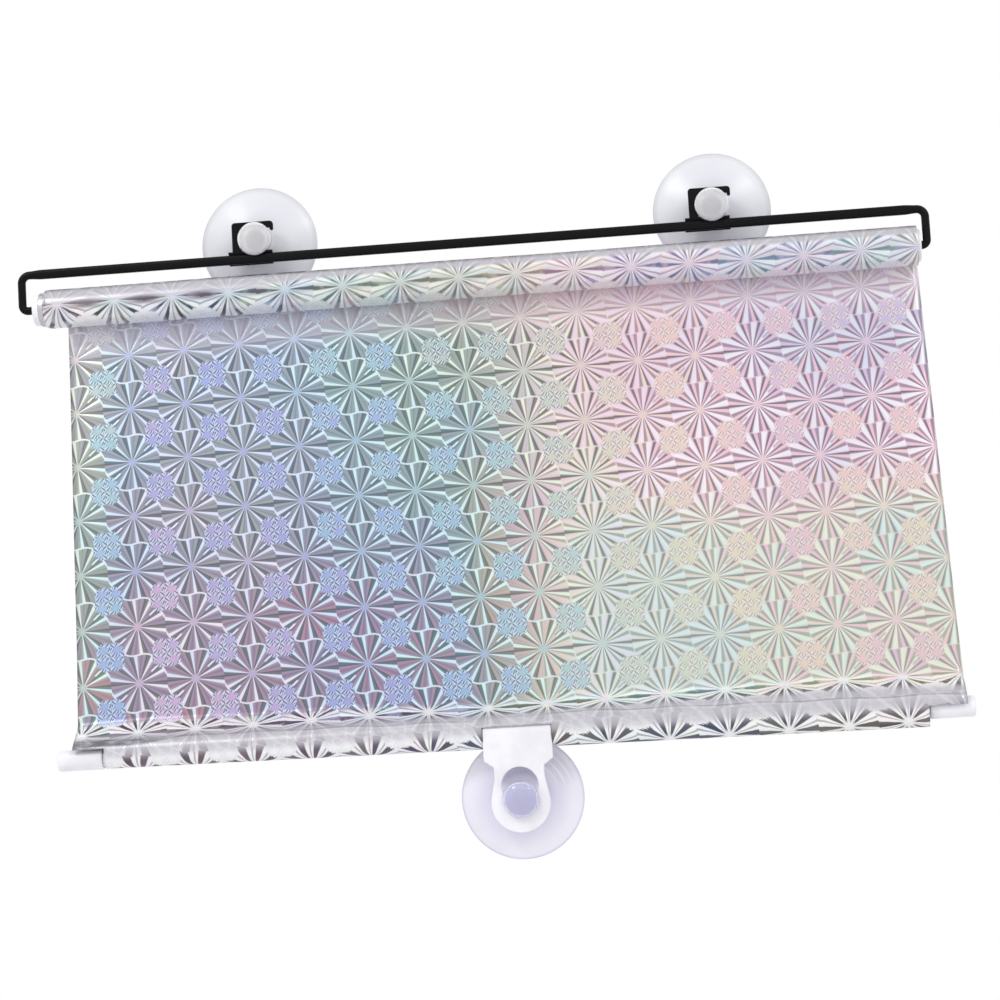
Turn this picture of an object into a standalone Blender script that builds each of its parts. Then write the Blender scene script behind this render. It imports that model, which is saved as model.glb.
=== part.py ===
# Spring-roller sun blind for a car side window: a black wire bracket hangs on two suction cups,
# a spring roller winds a patterned film, and a white rail with a third cup holds the film's end.
# Metres, +Z up, X along the roller, the viewer inside the car at -Y.
# The origin lies on the glass, midway in height through the two upper cups and midway along the bar.

import math

import bmesh
import bpy
from mathutils import Matrix, Vector

# Clearances and the tilt of the car's glass
GAP = 0.0003
GLASS_LEAN = math.radians(9.0)

# Wire bracket
WIRE_DIAMETER = 0.0038
BAR_HEIGHT = 0.0045
BAR_DEPTH = 0.0031
BAR_BEYOND_FILM = 0.024
CORNER_RADIUS = 0.0038
TAIL_RADIUS = 0.0026
LEFT_TAIL = 0.018
RIGHT_TAIL = 0.016
RIGHT_TAIL_PRESSED = 0.008
PRESSED_HEIGHT = 0.0050
PRESSED_DEPTH = 0.0032
PRESS_TRANSITION = 0.0020
BAR_TRANSITION = 0.0060
BAR_ABOVE_ROLLER = 0.017
CUP_ABOVE_BAR = 0.0091
WIRE_FROM_GLASS = 0.0145

# Cups and the sheet clips that hold them on the bar
CUP_DIAMETER = 0.0553
CUP_LIP_WIDTH = 0.0058
CUP_LIP_EDGE = 0.0009
CUP_DOME_HEIGHT = 0.0098
CUP_WALL = 0.0042
CUP_SIDES = 28
NECK_DIAMETER = 0.010
SHOULDER_DIAMETER = 0.0166
HEAD_DIAMETER = 0.0158
HEAD_HEIGHT = 0.0046
LEFT_CUP_INSET = 0.1121
RIGHT_CUP_INSET = 0.0974
HOLLOW_CURVE = 1.7
DOME_CURVE = 0.9
DOME_SHARE = 0.84
HEAD_RIM_SHARE = 0.25
CLIP_SHEET = 0.0016
CLIP_FINGER_HEIGHT = 0.0031
CLIP_FINGER_REACH = 0.0089
CLIP_HOOK_DROP = 0.0014
CLIP_HOOK_WIDTH = 0.0016
CLIP_UPRIGHT_WIDTH = 0.0043
CLIP_UPRIGHT_OFFSET = 0.0064
CLIP_FOOT_LEFT = 0.0128
CLIP_FOOT_RIGHT = 0.0080
CURL_WALL = 0.0012
CURL_START = math.radians(104.0)
CURL_END = math.radians(-42.0)

# Spring roller
TUBE_DIAMETER = 0.016
TUBE_WALL = 0.0008
ARM_TO_PLUG = 0.0059
ARM_TO_BUSH = 0.0031
PLUG_FLANGE = 0.0030
PLUG_DEPTH = 0.018
PLUG_FLANGE_DIAMETER = 0.0150
FLANGE_ROUNDING = 0.0010
BUSH_FLANGE = 0.0018
BUSH_DEPTH = 0.016
ARBOR_DIAMETER = 0.0072
ARBOR_SHAFT_DIAMETER = 0.0058
ARBOR_COLLAR_DIAMETER = 0.0100
ARBOR_COLLAR = 0.0014
ARBOR_SHAFT_LENGTH = 0.020
STUB_DIAMETER = 0.0084
STUB_LENGTH = 0.010
STUB_GRIP = 0.008
SPRING_WIRE = 0.0010
SPRING_LENGTH = 0.100
SPRING_TURNS = 20
ANCHOR_DISC = 0.008
BORE_DEPTH = 0.022

# Film
ROLL_DIAMETER = 0.0186
FILM_THICKNESS = 0.0003
FILM_WIDTH = 0.400
FILM_INSET = 0.0101
FILM_SLANT = math.radians(1.15)
TELESCOPE = 0.0080
ROLL_END_FALL_LEFT = 0.0002
ROLL_END_FALL_RIGHT = 0.0003
FILM_DROP = 0.2149

# Bottom rail, its pocket in the film, and its clip
RAIL_DIAMETER = 0.0074
RAIL_WALL = 0.0010
RAIL_TO_LAP = 0.0005
CAP_DIAMETER = 0.0094
CAP_LEFT_GAP = 0.0013
CAP_LEFT_LENGTH = 0.0208
CAP_RIGHT_GAP = 0.0007
CAP_RIGHT_LENGTH = 0.0199
CAP_FLOOR = 0.0030
CAP_ROUNDING = 0.0012
HEM_TOP = 0.0180
HEM_LAP = 0.0010
SWEEP_TOP = 0.0170
SWEEP_BOTTOM = 0.0030
LAP_START = 0.0119
HEM_DROP_LEFT = 0.0045
HEM_DROP_RIGHT = 0.0084
TAB_LEFT_INSET = 0.01445
TAB_RIGHT_INSET = 0.01695
CORNER_LEFT_ABOVE = 0.0080
CORNER_RIGHT_ABOVE = 0.0030
NOTCH_FRONT_ABOVE = 0.0012
NOTCH_BACK_ABOVE = 0.0085
CLIP_X = 0.01215
CLIP_LEAN = math.radians(12.0)
CLIP_WIDTH = 0.0309
CLIP_RING_WALL = 0.0020
CLIP_RING_SPACE = 0.0001
CLIP_PLATE = 0.0022
CLIP_RING_END = math.radians(-40.0)
CLIP_SHOULDER = 0.0121
CLIP_WAIST = 0.0224
CLIP_WAIST_FALL = 0.0030
CLIP_WAIST_STRAIGHT = 0.0040
CLIP_FILLET = 0.0016
CLIP_END_RADIUS = 0.0132
CLIP_LENGTH = 0.0437
CUP_BELOW_RAIL = 0.0289
ENTRY_ABOVE_CUP = 0.0062
NOTCH_SIDE_GAP = 0.0006
HEM_STATIONS = 6
CUTTER_REACH = 0.03
CUTTER_OVERRUN = 0.01

# Worked out from the above
BAR_LENGTH = FILM_WIDTH + BAR_BEYOND_FILM
LEFT_CUP_X = LEFT_CUP_INSET - BAR_LENGTH / 2
RIGHT_CUP_X = BAR_LENGTH / 2 - RIGHT_CUP_INSET
TUBE_LEFT = ARM_TO_PLUG + PLUG_FLANGE + GAP - BAR_LENGTH / 2
TUBE_RIGHT = BAR_LENGTH / 2 - ARM_TO_BUSH - BUSH_FLANGE - GAP
FILM_LEFT_TOP = TUBE_LEFT + FILM_INSET
HEM_LEFT = FILM_LEFT_TOP + (FILM_DROP - HEM_TOP) * math.tan(FILM_SLANT)
TAB_LEFT = HEM_LEFT + TAB_LEFT_INSET
TAB_RIGHT = HEM_LEFT + FILM_WIDTH - TAB_RIGHT_INSET
CAP_LEFT_END = TAB_LEFT - CAP_LEFT_GAP - CAP_LEFT_LENGTH
CAP_RIGHT_END = TAB_RIGHT + CAP_RIGHT_GAP + CAP_RIGHT_LENGTH
ROLLER_LOCAL = Vector((0.0, -WIRE_FROM_GLASS, -CUP_ABOVE_BAR - BAR_ABOVE_ROLLER))
LEAN = Matrix.Rotation(GLASS_LEAN, 4, "X")
ROLLER = LEAN @ ROLLER_LOCAL
ROLL_RADIUS = ROLL_DIAMETER / 2
SHEET_Y = ROLLER.y + ROLL_RADIUS + GAP + FILM_THICKNESS / 2
CLIP_BORE = RAIL_DIAMETER / 2 + GAP + CLIP_RING_SPACE
CLIP_OUTER = CLIP_BORE + CLIP_RING_WALL
FILM_FRONT = -(CLIP_OUTER + GAP + FILM_THICKNESS / 2)
FILM_BACK = RAIL_DIAMETER / 2 + 2 * GAP + FILM_THICKNESS / 2
RAIL_BEHIND = FILM_BACK + RAIL_TO_LAP
RAIL = Vector((0.0, SHEET_Y - RAIL_BEHIND, ROLLER.z - FILM_DROP))
CUP_RADIUS = CUP_DIAMETER / 2
NECK_LENGTH = WIRE_FROM_GLASS - CUP_DOME_HEIGHT + CLIP_SHEET / 2 + GAP
SLOT_HALF = NECK_DIAMETER / 2 + GAP


def clear_scene():
    for obj in list(bpy.data.objects):
        bpy.data.objects.remove(obj, do_unlink=True)


def make_material(name, colour, roughness, metallic=0.0, transmission=0.0):
    material = bpy.data.materials.new(name)
    material.use_nodes = True
    shader = material.node_tree.nodes["Principled BSDF"]
    shader.inputs["Base Color"].default_value = (*colour, 1.0)
    shader.inputs["Roughness"].default_value = roughness
    shader.inputs["Metallic"].default_value = metallic
    shader.inputs["Transmission Weight"].default_value = transmission
    material.diffuse_color = (*colour, 1.0)
    return material


def empty(name, location=(0.0, 0.0, 0.0), lean=0.0, parent=None):
    holder = bpy.data.objects.new(name, None)
    holder.empty_display_size = 0.01
    holder.location = location
    holder.rotation_euler = (lean, 0.0, 0.0)
    holder.parent = parent
    bpy.context.scene.collection.objects.link(holder)
    return holder


def add_object(name, bm, material, parent=None, location=(0.0, 0.0, 0.0), smooth_angle=35.0):
    bmesh.ops.remove_doubles(bm, verts=bm.verts, dist=1e-7)
    bmesh.ops.recalc_face_normals(bm, faces=bm.faces)
    mesh = bpy.data.meshes.new(name)
    bm.to_mesh(mesh)
    bm.free()
    mesh.materials.append(material)
    mesh.shade_smooth()
    mesh.set_sharp_from_angle(angle=math.radians(smooth_angle))
    obj = bpy.data.objects.new(name, mesh)
    obj.location = location
    obj.parent = parent
    bpy.context.scene.collection.objects.link(obj)
    return obj


def add_cutter(name, bm, target, operation="DIFFERENCE", parent=None, location=(0.0, 0.0, 0.0)):
    cutter = add_object(name, bm, target.data.materials[0], parent, location)
    cutter.hide_render = True
    cutter.display_type = "WIRE"
    boolean = target.modifiers.new(name, "BOOLEAN")
    boolean.object = cutter
    boolean.operation = operation
    boolean.solver = "EXACT"
    return cutter


def arc(centre, radius, start, end, steps):
    """Points of an arc in degrees, both ends included; radius may be a pair for an ellipse."""
    across, up = radius if isinstance(radius, tuple) else (radius, radius)
    points = []
    for i in range(steps + 1):
        angle = math.radians(start + (end - start) * i / steps)
        points.append((centre[0] + across * math.cos(angle), centre[1] + up * math.sin(angle)))
    return points


def turned(profile, axis, steps):
    """A body of revolution: profile holds (distance along axis, radius), and is closed or ends on the axis."""
    bm = bmesh.new()
    along = Vector(axis)
    verts = [bm.verts.new(along * a + Vector((0.0, 0.0, r))) for a, r in profile]
    edges = [bm.edges.new(pair) for pair in zip(verts, verts[1:])]
    if profile[0][1] > 0.0:
        edges.append(bm.edges.new((verts[-1], verts[0])))
    bmesh.ops.spin(
        bm,
        geom=verts + edges,
        cent=(0.0, 0.0, 0.0),
        axis=along,
        angle=math.tau,
        steps=steps,
        use_merge=True,
    )
    bmesh.ops.remove_doubles(bm, verts=bm.verts, dist=1e-7)
    return bm


def extruded(outline, plane, low, high):
    """A prism: outline holds 2-D points in XZ or YZ, carried along the third axis from low to high."""
    bm = bmesh.new()
    if plane == "XZ":
        verts = [bm.verts.new((a, low, b)) for a, b in outline]
        step = Vector((0.0, high - low, 0.0))
    else:
        verts = [bm.verts.new((low, a, b)) for a, b in outline]
        step = Vector((high - low, 0.0, 0.0))
    face = bm.faces.new(verts)
    grown = bmesh.ops.extrude_face_region(bm, geom=[face])
    moved = [v for v in grown["geom"] if isinstance(v, bmesh.types.BMVert)]
    bmesh.ops.translate(bm, verts=moved, vec=step)
    return bm


def box(low, high):
    bm = bmesh.new()
    bmesh.ops.create_cube(bm, size=1.0)
    low, high = Vector(low), Vector(high)
    bmesh.ops.scale(bm, verts=bm.verts, vec=high - low)
    bmesh.ops.translate(bm, verts=bm.verts, vec=(low + high) / 2)
    return bm


def swept(path, section, side):
    """A bar through path: section(i) gives (half size across, half size along side); side is a fixed normal."""
    bm = bmesh.new()
    sides = 12 if len(path) < 100 else 6
    rings = []
    for i, point in enumerate(path):
        ahead = path[min(i + 1, len(path) - 1)] - path[max(i - 1, 0)]
        tangent = ahead.normalized()
        other = side(point)
        across = tangent.cross(other).normalized()
        other = across.cross(tangent).normalized()
        wide, deep = section(i)
        ring = []
        for k in range(sides):
            turn = math.tau * k / sides
            ring.append(bm.verts.new(point + across * wide * math.cos(turn) + other * deep * math.sin(turn)))
        rings.append(ring)
    for first, second in zip(rings, rings[1:]):
        for k in range(sides):
            n = (k + 1) % sides
            bm.faces.new((first[k], first[n], second[n], second[k]))
    bm.faces.new(rings[0])
    bm.faces.new(rings[-1])
    return bm


def wire_bracket(material, frame):
    """One bent wire: tails on the roller's axis, round arms, and a bar pressed flatter than the arms."""
    half = BAR_LENGTH / 2
    bar_z = -CUP_ABOVE_BAR
    axis_z = bar_z - BAR_ABOVE_ROLLER
    round_half = (WIRE_DIAMETER / 2, WIRE_DIAMETER / 2)
    bar_half = (BAR_HEIGHT / 2, BAR_DEPTH / 2)
    tail_half = (PRESSED_HEIGHT / 2, PRESSED_DEPTH / 2)
    points = [
        ((half - RIGHT_TAIL, axis_z), tail_half),
        ((half - RIGHT_TAIL + RIGHT_TAIL_PRESSED, axis_z), tail_half),
        ((half - RIGHT_TAIL + RIGHT_TAIL_PRESSED + PRESS_TRANSITION, axis_z), round_half),
    ]
    tail, corner = half - TAIL_RADIUS, half - CORNER_RADIUS
    tail_z, corner_z = axis_z + TAIL_RADIUS, bar_z - CORNER_RADIUS
    points += [(p, round_half) for p in arc((tail, tail_z), TAIL_RADIUS, -90, 0, 6)]
    points += [(p, round_half) for p in arc((corner, corner_z), CORNER_RADIUS, 0, 90, 6)]
    press_start = corner - BAR_TRANSITION
    points += [((press_start, bar_z), bar_half), ((0.0, bar_z), bar_half), ((-press_start, bar_z), bar_half)]
    points += [(p, round_half) for p in arc((-corner, corner_z), CORNER_RADIUS, 90, 180, 6)]
    points += [(p, round_half) for p in arc((-tail, tail_z), TAIL_RADIUS, 180, 270, 6)]
    points.append(((LEFT_TAIL - half, axis_z), round_half))
    path = [Vector((p[0], 0.0, p[1])) for p, size in points]
    bm = swept(path, lambda i: points[i][1], lambda point: Vector((0.0, 1.0, 0.0)))
    return add_object("wire_bracket", bm, material, frame, (0.0, -WIRE_FROM_GLASS, 0.0))


def cup_clip(name, x, material, frame):
    """A stamped clip: a curl behind the bar, and a hooked finger that holds the cup's neck from above."""
    finger_low = SLOT_HALF
    finger_high = SLOT_HALF + CLIP_FINGER_HEIGHT
    left = -CLIP_UPRIGHT_OFFSET - CLIP_UPRIGHT_WIDTH
    right = -CLIP_UPRIGHT_OFFSET
    inner = (BAR_DEPTH / 2 + GAP, BAR_HEIGHT / 2 + GAP)
    outer = (inner[0] + CURL_WALL, inner[1] + CURL_WALL)
    foot = -CUP_ABOVE_BAR + (inner[1] + outer[1]) / 2
    corner = CLIP_FINGER_HEIGHT / 2
    outline = [(left, foot), (right, foot)]
    outline += arc((right + corner, finger_low - corner), corner, 180, 90, 4)
    outline += [
        (CLIP_FINGER_REACH - CLIP_HOOK_WIDTH, finger_low),
        (CLIP_FINGER_REACH - CLIP_HOOK_WIDTH, finger_low - CLIP_HOOK_DROP),
        (CLIP_FINGER_REACH, finger_low - CLIP_HOOK_DROP),
    ]
    outline += arc((CLIP_FINGER_REACH - corner, finger_high - corner), corner, 0, 90, 4)
    outline += arc((left + corner, finger_high - corner), corner, 90, 180, 4)
    plate = extruded(outline, "XZ", -CLIP_SHEET / 2, CLIP_SHEET / 2)
    clip = add_object(name, plate, material, frame, (x, -WIRE_FROM_GLASS, 0.0))
    centre = (0.0, -CUP_ABOVE_BAR)
    start, end = math.degrees(CURL_START), math.degrees(CURL_END)
    section = arc(centre, outer, start, end, 12) + arc(centre, inner, end, start, 12)
    curl = extruded(section, "YZ", -CLIP_FOOT_LEFT, CLIP_FOOT_RIGHT)
    add_cutter(name + "_curl", curl, clip, "UNION", frame, (x, -WIRE_FROM_GLASS, 0.0))
    return clip


def cup_profile():
    """The cup turned about its axis: (distance from the glass towards the car's inside, radius)."""
    shoulder = SHOULDER_DIAMETER / 2
    lip_inner = CUP_RADIUS - CUP_LIP_WIDTH
    neck = NECK_DIAMETER / 2
    head = HEAD_DIAMETER / 2
    neck_end = CUP_DOME_HEIGHT + NECK_LENGTH
    profile = []
    for i in range(5):
        r = lip_inner * i / 4
        profile.append(((CUP_DOME_HEIGHT - CUP_WALL) * (1 - (r / lip_inner) ** HOLLOW_CURVE), r))
    profile += [(0.0, CUP_RADIUS), (CUP_LIP_EDGE, CUP_RADIUS)]
    for i in range(1, 5):
        share = i / 5
        r = CUP_RADIUS + (shoulder - CUP_RADIUS) * share
        rise = CUP_DOME_HEIGHT * DOME_SHARE - CUP_LIP_EDGE
        profile.append((CUP_LIP_EDGE + rise * share**DOME_CURVE, r))
    rounding = CUP_DOME_HEIGHT * (1 - DOME_SHARE)
    profile += arc((CUP_DOME_HEIGHT - rounding, shoulder - rounding), rounding, 90, 0, 2)
    profile += [(CUP_DOME_HEIGHT, neck), (neck_end, neck)]
    rim = HEAD_HEIGHT * HEAD_RIM_SHARE
    profile += arc((neck_end + rim, head - rim), rim, 180, 90, 2)
    profile += arc((neck_end + rim, 0.0), (HEAD_HEIGHT - rim, head), 72, 0, 4)
    profile[-1] = (neck_end + HEAD_HEIGHT, 0.0)
    return profile


def suction_cup(name, mesh, material, parent, location):
    if mesh is None:
        return add_object(name, turned(cup_profile(), (0.0, -1.0, 0.0), CUP_SIDES), material, parent, location)
    cup = bpy.data.objects.new(name, mesh)
    cup.location = location
    cup.parent = parent
    bpy.context.scene.collection.objects.link(cup)
    return cup


def ring_profile(stations, bore):
    """Turned outline of a bored piece: stations holds (x, outer radius) left to right."""
    return stations + [(stations[-1][0], bore), (stations[0][0], bore)]


def roller_parts(plastic, steel, tube_paint, roller):
    """The tube with its idle plug, the bush that turns on the arbor, and the anchor that winds the spring."""
    x_axis = (1.0, 0.0, 0.0)
    tube_r = TUBE_DIAMETER / 2
    bore = tube_r - TUBE_WALL
    body = bore - GAP
    tube = [(TUBE_LEFT, tube_r), (TUBE_RIGHT, tube_r), (TUBE_RIGHT, bore), (TUBE_LEFT, bore)]
    add_object("roller_tube", turned(tube, x_axis, 40), tube_paint, roller)

    flange_r = PLUG_FLANGE_DIAMETER / 2
    face = TUBE_LEFT - GAP - PLUG_FLANGE
    rounding = FLANGE_ROUNDING
    plug = arc((face + rounding, flange_r - rounding), rounding, 180, 90, 3)
    plug += [(TUBE_LEFT - GAP, flange_r), (TUBE_LEFT - GAP, body), (face + PLUG_DEPTH, body)]
    add_object("idle_plug", turned(ring_profile(plug, WIRE_DIAMETER / 2 + GAP), x_axis, 24), plastic, roller)

    outer_face = TUBE_RIGHT + GAP + BUSH_FLANGE
    inner_face = outer_face - BUSH_DEPTH
    bush = [(inner_face, body), (TUBE_RIGHT + GAP, body), (TUBE_RIGHT + GAP, flange_r)]
    bush += arc((outer_face - rounding, flange_r - rounding), rounding, 90, 0, 3)
    add_object("spring_bush", turned(ring_profile(bush, ARBOR_DIAMETER / 2 + GAP), x_axis, 24), plastic, roller)

    stub_r = STUB_DIAMETER / 2
    spring_right = arbor_inner_end() + STUB_GRIP
    spring_left = spring_right - SPRING_LENGTH
    seat = spring_left + STUB_GRIP
    back = seat - STUB_LENGTH - ANCHOR_DISC
    anchor = [(back, 0.0), (back, body), (back + ANCHOR_DISC, body), (back + ANCHOR_DISC, stub_r)]
    anchor += [(seat, stub_r), (seat, 0.0)]
    add_object("spring_anchor", turned(anchor, x_axis, 24), plastic, roller)

    wire = SPRING_WIRE / 2
    coil = stub_r + GAP + wire
    path = []
    steps = SPRING_TURNS * 9
    for i in range(steps + 1):
        turn = math.tau * SPRING_TURNS * i / steps
        x = spring_left + SPRING_LENGTH * i / steps
        path.append(Vector((x, coil * math.cos(turn), coil * math.sin(turn))))
    bm = swept(path, lambda i: (wire, wire), lambda p: Vector((0.0, p.y, p.z)))
    add_object("torsion_spring", bm, steel, roller)


def arbor_inner_end():
    journal_inner = TUBE_RIGHT + GAP + BUSH_FLANGE - BUSH_DEPTH
    return journal_inner - GAP - ARBOR_COLLAR - ARBOR_SHAFT_LENGTH - STUB_LENGTH


def spring_arbor(material, bracket):
    """The pin that the bracket's pressed tail keeps from turning; the spring grips its inner stub."""
    outer = TUBE_RIGHT + GAP + BUSH_FLANGE
    journal_inner = outer - BUSH_DEPTH - GAP
    collar_inner = journal_inner - ARBOR_COLLAR
    stub_r = STUB_DIAMETER / 2
    end = arbor_inner_end()
    shaft_r = ARBOR_SHAFT_DIAMETER / 2
    collar_r = ARBOR_COLLAR_DIAMETER / 2
    journal_r = ARBOR_DIAMETER / 2
    profile = [(end, 0.0), (end, stub_r), (end + STUB_LENGTH, stub_r), (end + STUB_LENGTH, shaft_r)]
    profile += [(collar_inner, shaft_r), (collar_inner, collar_r), (journal_inner, collar_r)]
    profile += [(journal_inner, journal_r), (outer, journal_r), (outer, 0.0)]
    place = tuple(ROLLER_LOCAL)
    arbor = add_object("spring_arbor", turned(profile, (1.0, 0.0, 0.0), 24), material, bracket, place)
    slot = arc((0.0, 0.0), (WIRE_DIAMETER / 2 + GAP, PRESSED_HEIGHT / 2 + GAP), 0, 345, 23)
    cutter = extruded(slot, "YZ", outer - BORE_DEPTH, outer + CUTTER_OVERRUN)
    add_cutter("arbor_slot", cutter, arbor, "DIFFERENCE", bracket, place)


def film_left(z):
    """Left edge of the film at a height; the film was wound slightly askew."""
    return FILM_LEFT_TOP + (ROLLER.z - z) * math.tan(FILM_SLANT)


def film_roll(material, roller):
    """The wound turns as one solid; the skew wind steps the ends of the turns sideways."""
    left = FILM_LEFT_TOP - TELESCOPE
    right = FILM_LEFT_TOP + FILM_WIDTH
    inner = TUBE_DIAMETER / 2 + GAP
    profile = [(left, inner), (left + TELESCOPE / 2, ROLL_RADIUS - ROLL_END_FALL_LEFT)]
    profile += [(left + TELESCOPE, ROLL_RADIUS), (right, ROLL_RADIUS)]
    profile += [(right, ROLL_RADIUS - ROLL_END_FALL_RIGHT), (right - TELESCOPE, inner)]
    add_object("film_roll", turned(profile, (1.0, 0.0, 0.0), 40), material, roller)


def film_sheet(material):
    """The film between the roll and the rail's pocket, tangent to the back of the roll."""
    top = ROLLER.z
    bottom = RAIL.z + HEM_TOP + GAP / 2
    outline = [
        (film_left(top), top),
        (film_left(bottom), bottom),
        (film_left(bottom) + FILM_WIDTH, bottom),
        (film_left(top) + FILM_WIDTH, top),
    ]
    bm = extruded(outline, "XZ", SHEET_Y - FILM_THICKNESS / 2, SHEET_Y + FILM_THICKNESS / 2)
    return add_object("film_sheet", bm, material)


def hem_path(drop):
    """Centre line of the film round the rail, as (y, z) from its axis: sweep forward, fold, and lap."""
    start = RAIL_BEHIND
    points = [(start, HEM_TOP - GAP / 2)]
    steps = 9
    for i in range(steps + 1):
        share = i / steps
        blend = share * share * (3 - 2 * share)
        points.append((start + (FILM_FRONT - start) * blend, SWEEP_TOP + (SWEEP_BOTTOM - SWEEP_TOP) * share))
    middle = (FILM_FRONT + FILM_BACK) / 2
    half = (FILM_BACK - FILM_FRONT) / 2
    points += arc((middle, 0.0), (half, drop), 180, 360, 14)
    lap_y = start + FILM_THICKNESS + GAP / 2
    points += [(lap_y, LAP_START), (lap_y, HEM_TOP - HEM_LAP)]
    return points


def ribbon_outline(path, thickness):
    """Both faces of a thin strip along path."""
    front, back = [], []
    for i, point in enumerate(path):
        a, b = path[max(i - 1, 0)], path[min(i + 1, len(path) - 1)]
        length = math.hypot(b[0] - a[0], b[1] - a[1])
        normal = (-(b[1] - a[1]) / length, (b[0] - a[0]) / length)
        front.append((point[0] + normal[0] * thickness / 2, point[1] + normal[1] * thickness / 2))
        back.append((point[0] - normal[0] * thickness / 2, point[1] - normal[1] * thickness / 2))
    return front + back[::-1]


def film_hem(material, rail):
    """The film's end: it sweeps over the rail, folds under it deeper at the right, and laps up its back."""
    left = HEM_LEFT
    right = left + FILM_WIDTH
    bm = bmesh.new()
    rings = []
    for i in range(HEM_STATIONS + 1):
        share = i / HEM_STATIONS
        drop = HEM_DROP_LEFT + (HEM_DROP_RIGHT - HEM_DROP_LEFT) * share
        outline = ribbon_outline(hem_path(drop), FILM_THICKNESS)
        rings.append([bm.verts.new((left + FILM_WIDTH * share, y, z)) for y, z in outline])
    count = len(rings[0])
    for first, second in zip(rings, rings[1:]):
        for k in range(count):
            n = (k + 1) % count
            # Both faces of the strip take the same diagonal, so that a twisted strip keeps its thickness
            if k < count // 2:
                pair = ((first[k], first[n], second[n]), (first[k], second[n], second[k]))
            else:
                pair = ((first[k], first[n], second[k]), (first[n], second[n], second[k]))
            for corners in pair:
                bm.faces.new(corners)
    bm.faces.new(rings[0])
    bm.faces.new(rings[-1])
    hem = add_object("film_hem", bm, material, rail)
    deep = CUTTER_REACH
    half = CLIP_WIDTH / 2 + NOTCH_SIDE_GAP
    cuts = {
        "hem_corner_left": ((left - CUTTER_OVERRUN, -deep, -deep), (TAB_LEFT, deep, CORNER_LEFT_ABOVE)),
        "hem_corner_right": ((TAB_RIGHT, -deep, -deep), (right + CUTTER_OVERRUN, deep, CORNER_RIGHT_ABOVE)),
        "hem_notch_front": ((CLIP_X - half, -deep, -deep), (CLIP_X + half, 0.0, NOTCH_FRONT_ABOVE)),
        "hem_notch_back": ((CLIP_X - half, -GAP, -deep), (CLIP_X + half, deep, NOTCH_BACK_ABOVE)),
    }
    for name, (start, end) in cuts.items():
        add_cutter(name, box(start, end), hem, "DIFFERENCE", rail)
    return hem


def bottom_rail(plastic, rail):
    """The rail's tube and the two end caps pushed over it."""
    x_axis = (1.0, 0.0, 0.0)
    r = RAIL_DIAMETER / 2
    bore = r - RAIL_WALL
    left = CAP_LEFT_END + CAP_FLOOR + GAP
    right = CAP_RIGHT_END - CAP_FLOOR - GAP
    tube = [(left, r), (right, r), (right, bore), (left, bore)]
    add_object("bottom_rail", turned(tube, x_axis, 28), plastic, rail)
    outer = CAP_DIAMETER / 2
    sleeve = r + GAP
    for name, end, length, way in (
        ("rail_cap_left", CAP_LEFT_END, CAP_LEFT_LENGTH, 1.0),
        ("rail_cap_right", CAP_RIGHT_END, CAP_RIGHT_LENGTH, -1.0),
    ):
        profile = [(end, 0.0), (end, outer - CAP_ROUNDING)]
        for along, radius in arc((CAP_ROUNDING, outer - CAP_ROUNDING), CAP_ROUNDING, 180, 90, 4)[1:]:
            profile.append((end + way * along, radius))
        mouth = end + way * length
        floor = end + way * CAP_FLOOR
        profile += [(mouth, outer), (mouth, sleeve), (floor, sleeve), (floor, 0.0)]
        add_object(name, turned(profile, x_axis, 28), plastic, rail)


def rail_clip(plastic, holder):
    """A snap ring on the rail with a wide tab and a keyhole tongue that takes the lower cup's neck."""
    front = -CLIP_OUTER
    back = front + CLIP_PLATE
    end = math.degrees(CLIP_RING_END)
    start = 180.0
    below = -CLIP_LENGTH - CUTTER_OVERRUN
    section = [(front, below), (front, 0.0)]
    section += arc((0.0, 0.0), CLIP_OUTER, start, end, 16)[1:]
    plate_meets = 180.0 + math.degrees(math.acos(min(1.0, -back / CLIP_BORE)))
    section += arc((0.0, 0.0), CLIP_BORE, end, plate_meets, 16)
    section.append((back, below))
    half = CLIP_WIDTH / 2
    clip = add_object("rail_clip", extruded(section, "YZ", -half, half), plastic, holder)

    waist = CLIP_WAIST / 2
    waist_z = -CLIP_SHOULDER - CLIP_WAIST_FALL
    fillet = CLIP_FILLET
    end_z = CLIP_END_RADIUS - CLIP_LENGTH
    side = [(half, CUTTER_REACH)]
    side += arc((half - fillet, -CLIP_SHOULDER + fillet), fillet, 0, -80, 4)
    side += arc((waist + fillet, waist_z), fillet, 100, 180, 4)
    side.append((waist, waist_z - CLIP_WAIST_STRAIGHT))
    side += arc((0.0, end_z), CLIP_END_RADIUS, 12, -90, 12)
    outline = side + [(-x, z) for x, z in side[-2::-1]]
    add_cutter("clip_outline", extruded(outline, "XZ", -CUTTER_REACH, CUTTER_REACH), clip, "INTERSECT", holder)

    entry_z = ENTRY_ABOVE_CUP - CUP_BELOW_RAIL
    entry_r = HEAD_DIAMETER / 2 + GAP
    neck_r = SLOT_HALF
    apart = ENTRY_ABOVE_CUP
    spread = math.degrees(math.acos((apart**2 + entry_r**2 - neck_r**2) / (2 * apart * entry_r)))
    reach = math.degrees(math.acos((apart**2 + neck_r**2 - entry_r**2) / (2 * apart * neck_r)))
    keyhole = arc((0.0, entry_z), entry_r, -90 + spread, 270 - spread, 22)
    keyhole += arc((0.0, -CUP_BELOW_RAIL), neck_r, 90 + reach, 450 - reach, 12)[1:-1]
    add_cutter("clip_keyhole", extruded(keyhole, "XZ", -CUTTER_REACH, 0.0), clip, "DIFFERENCE", holder)
    return clip


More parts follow.
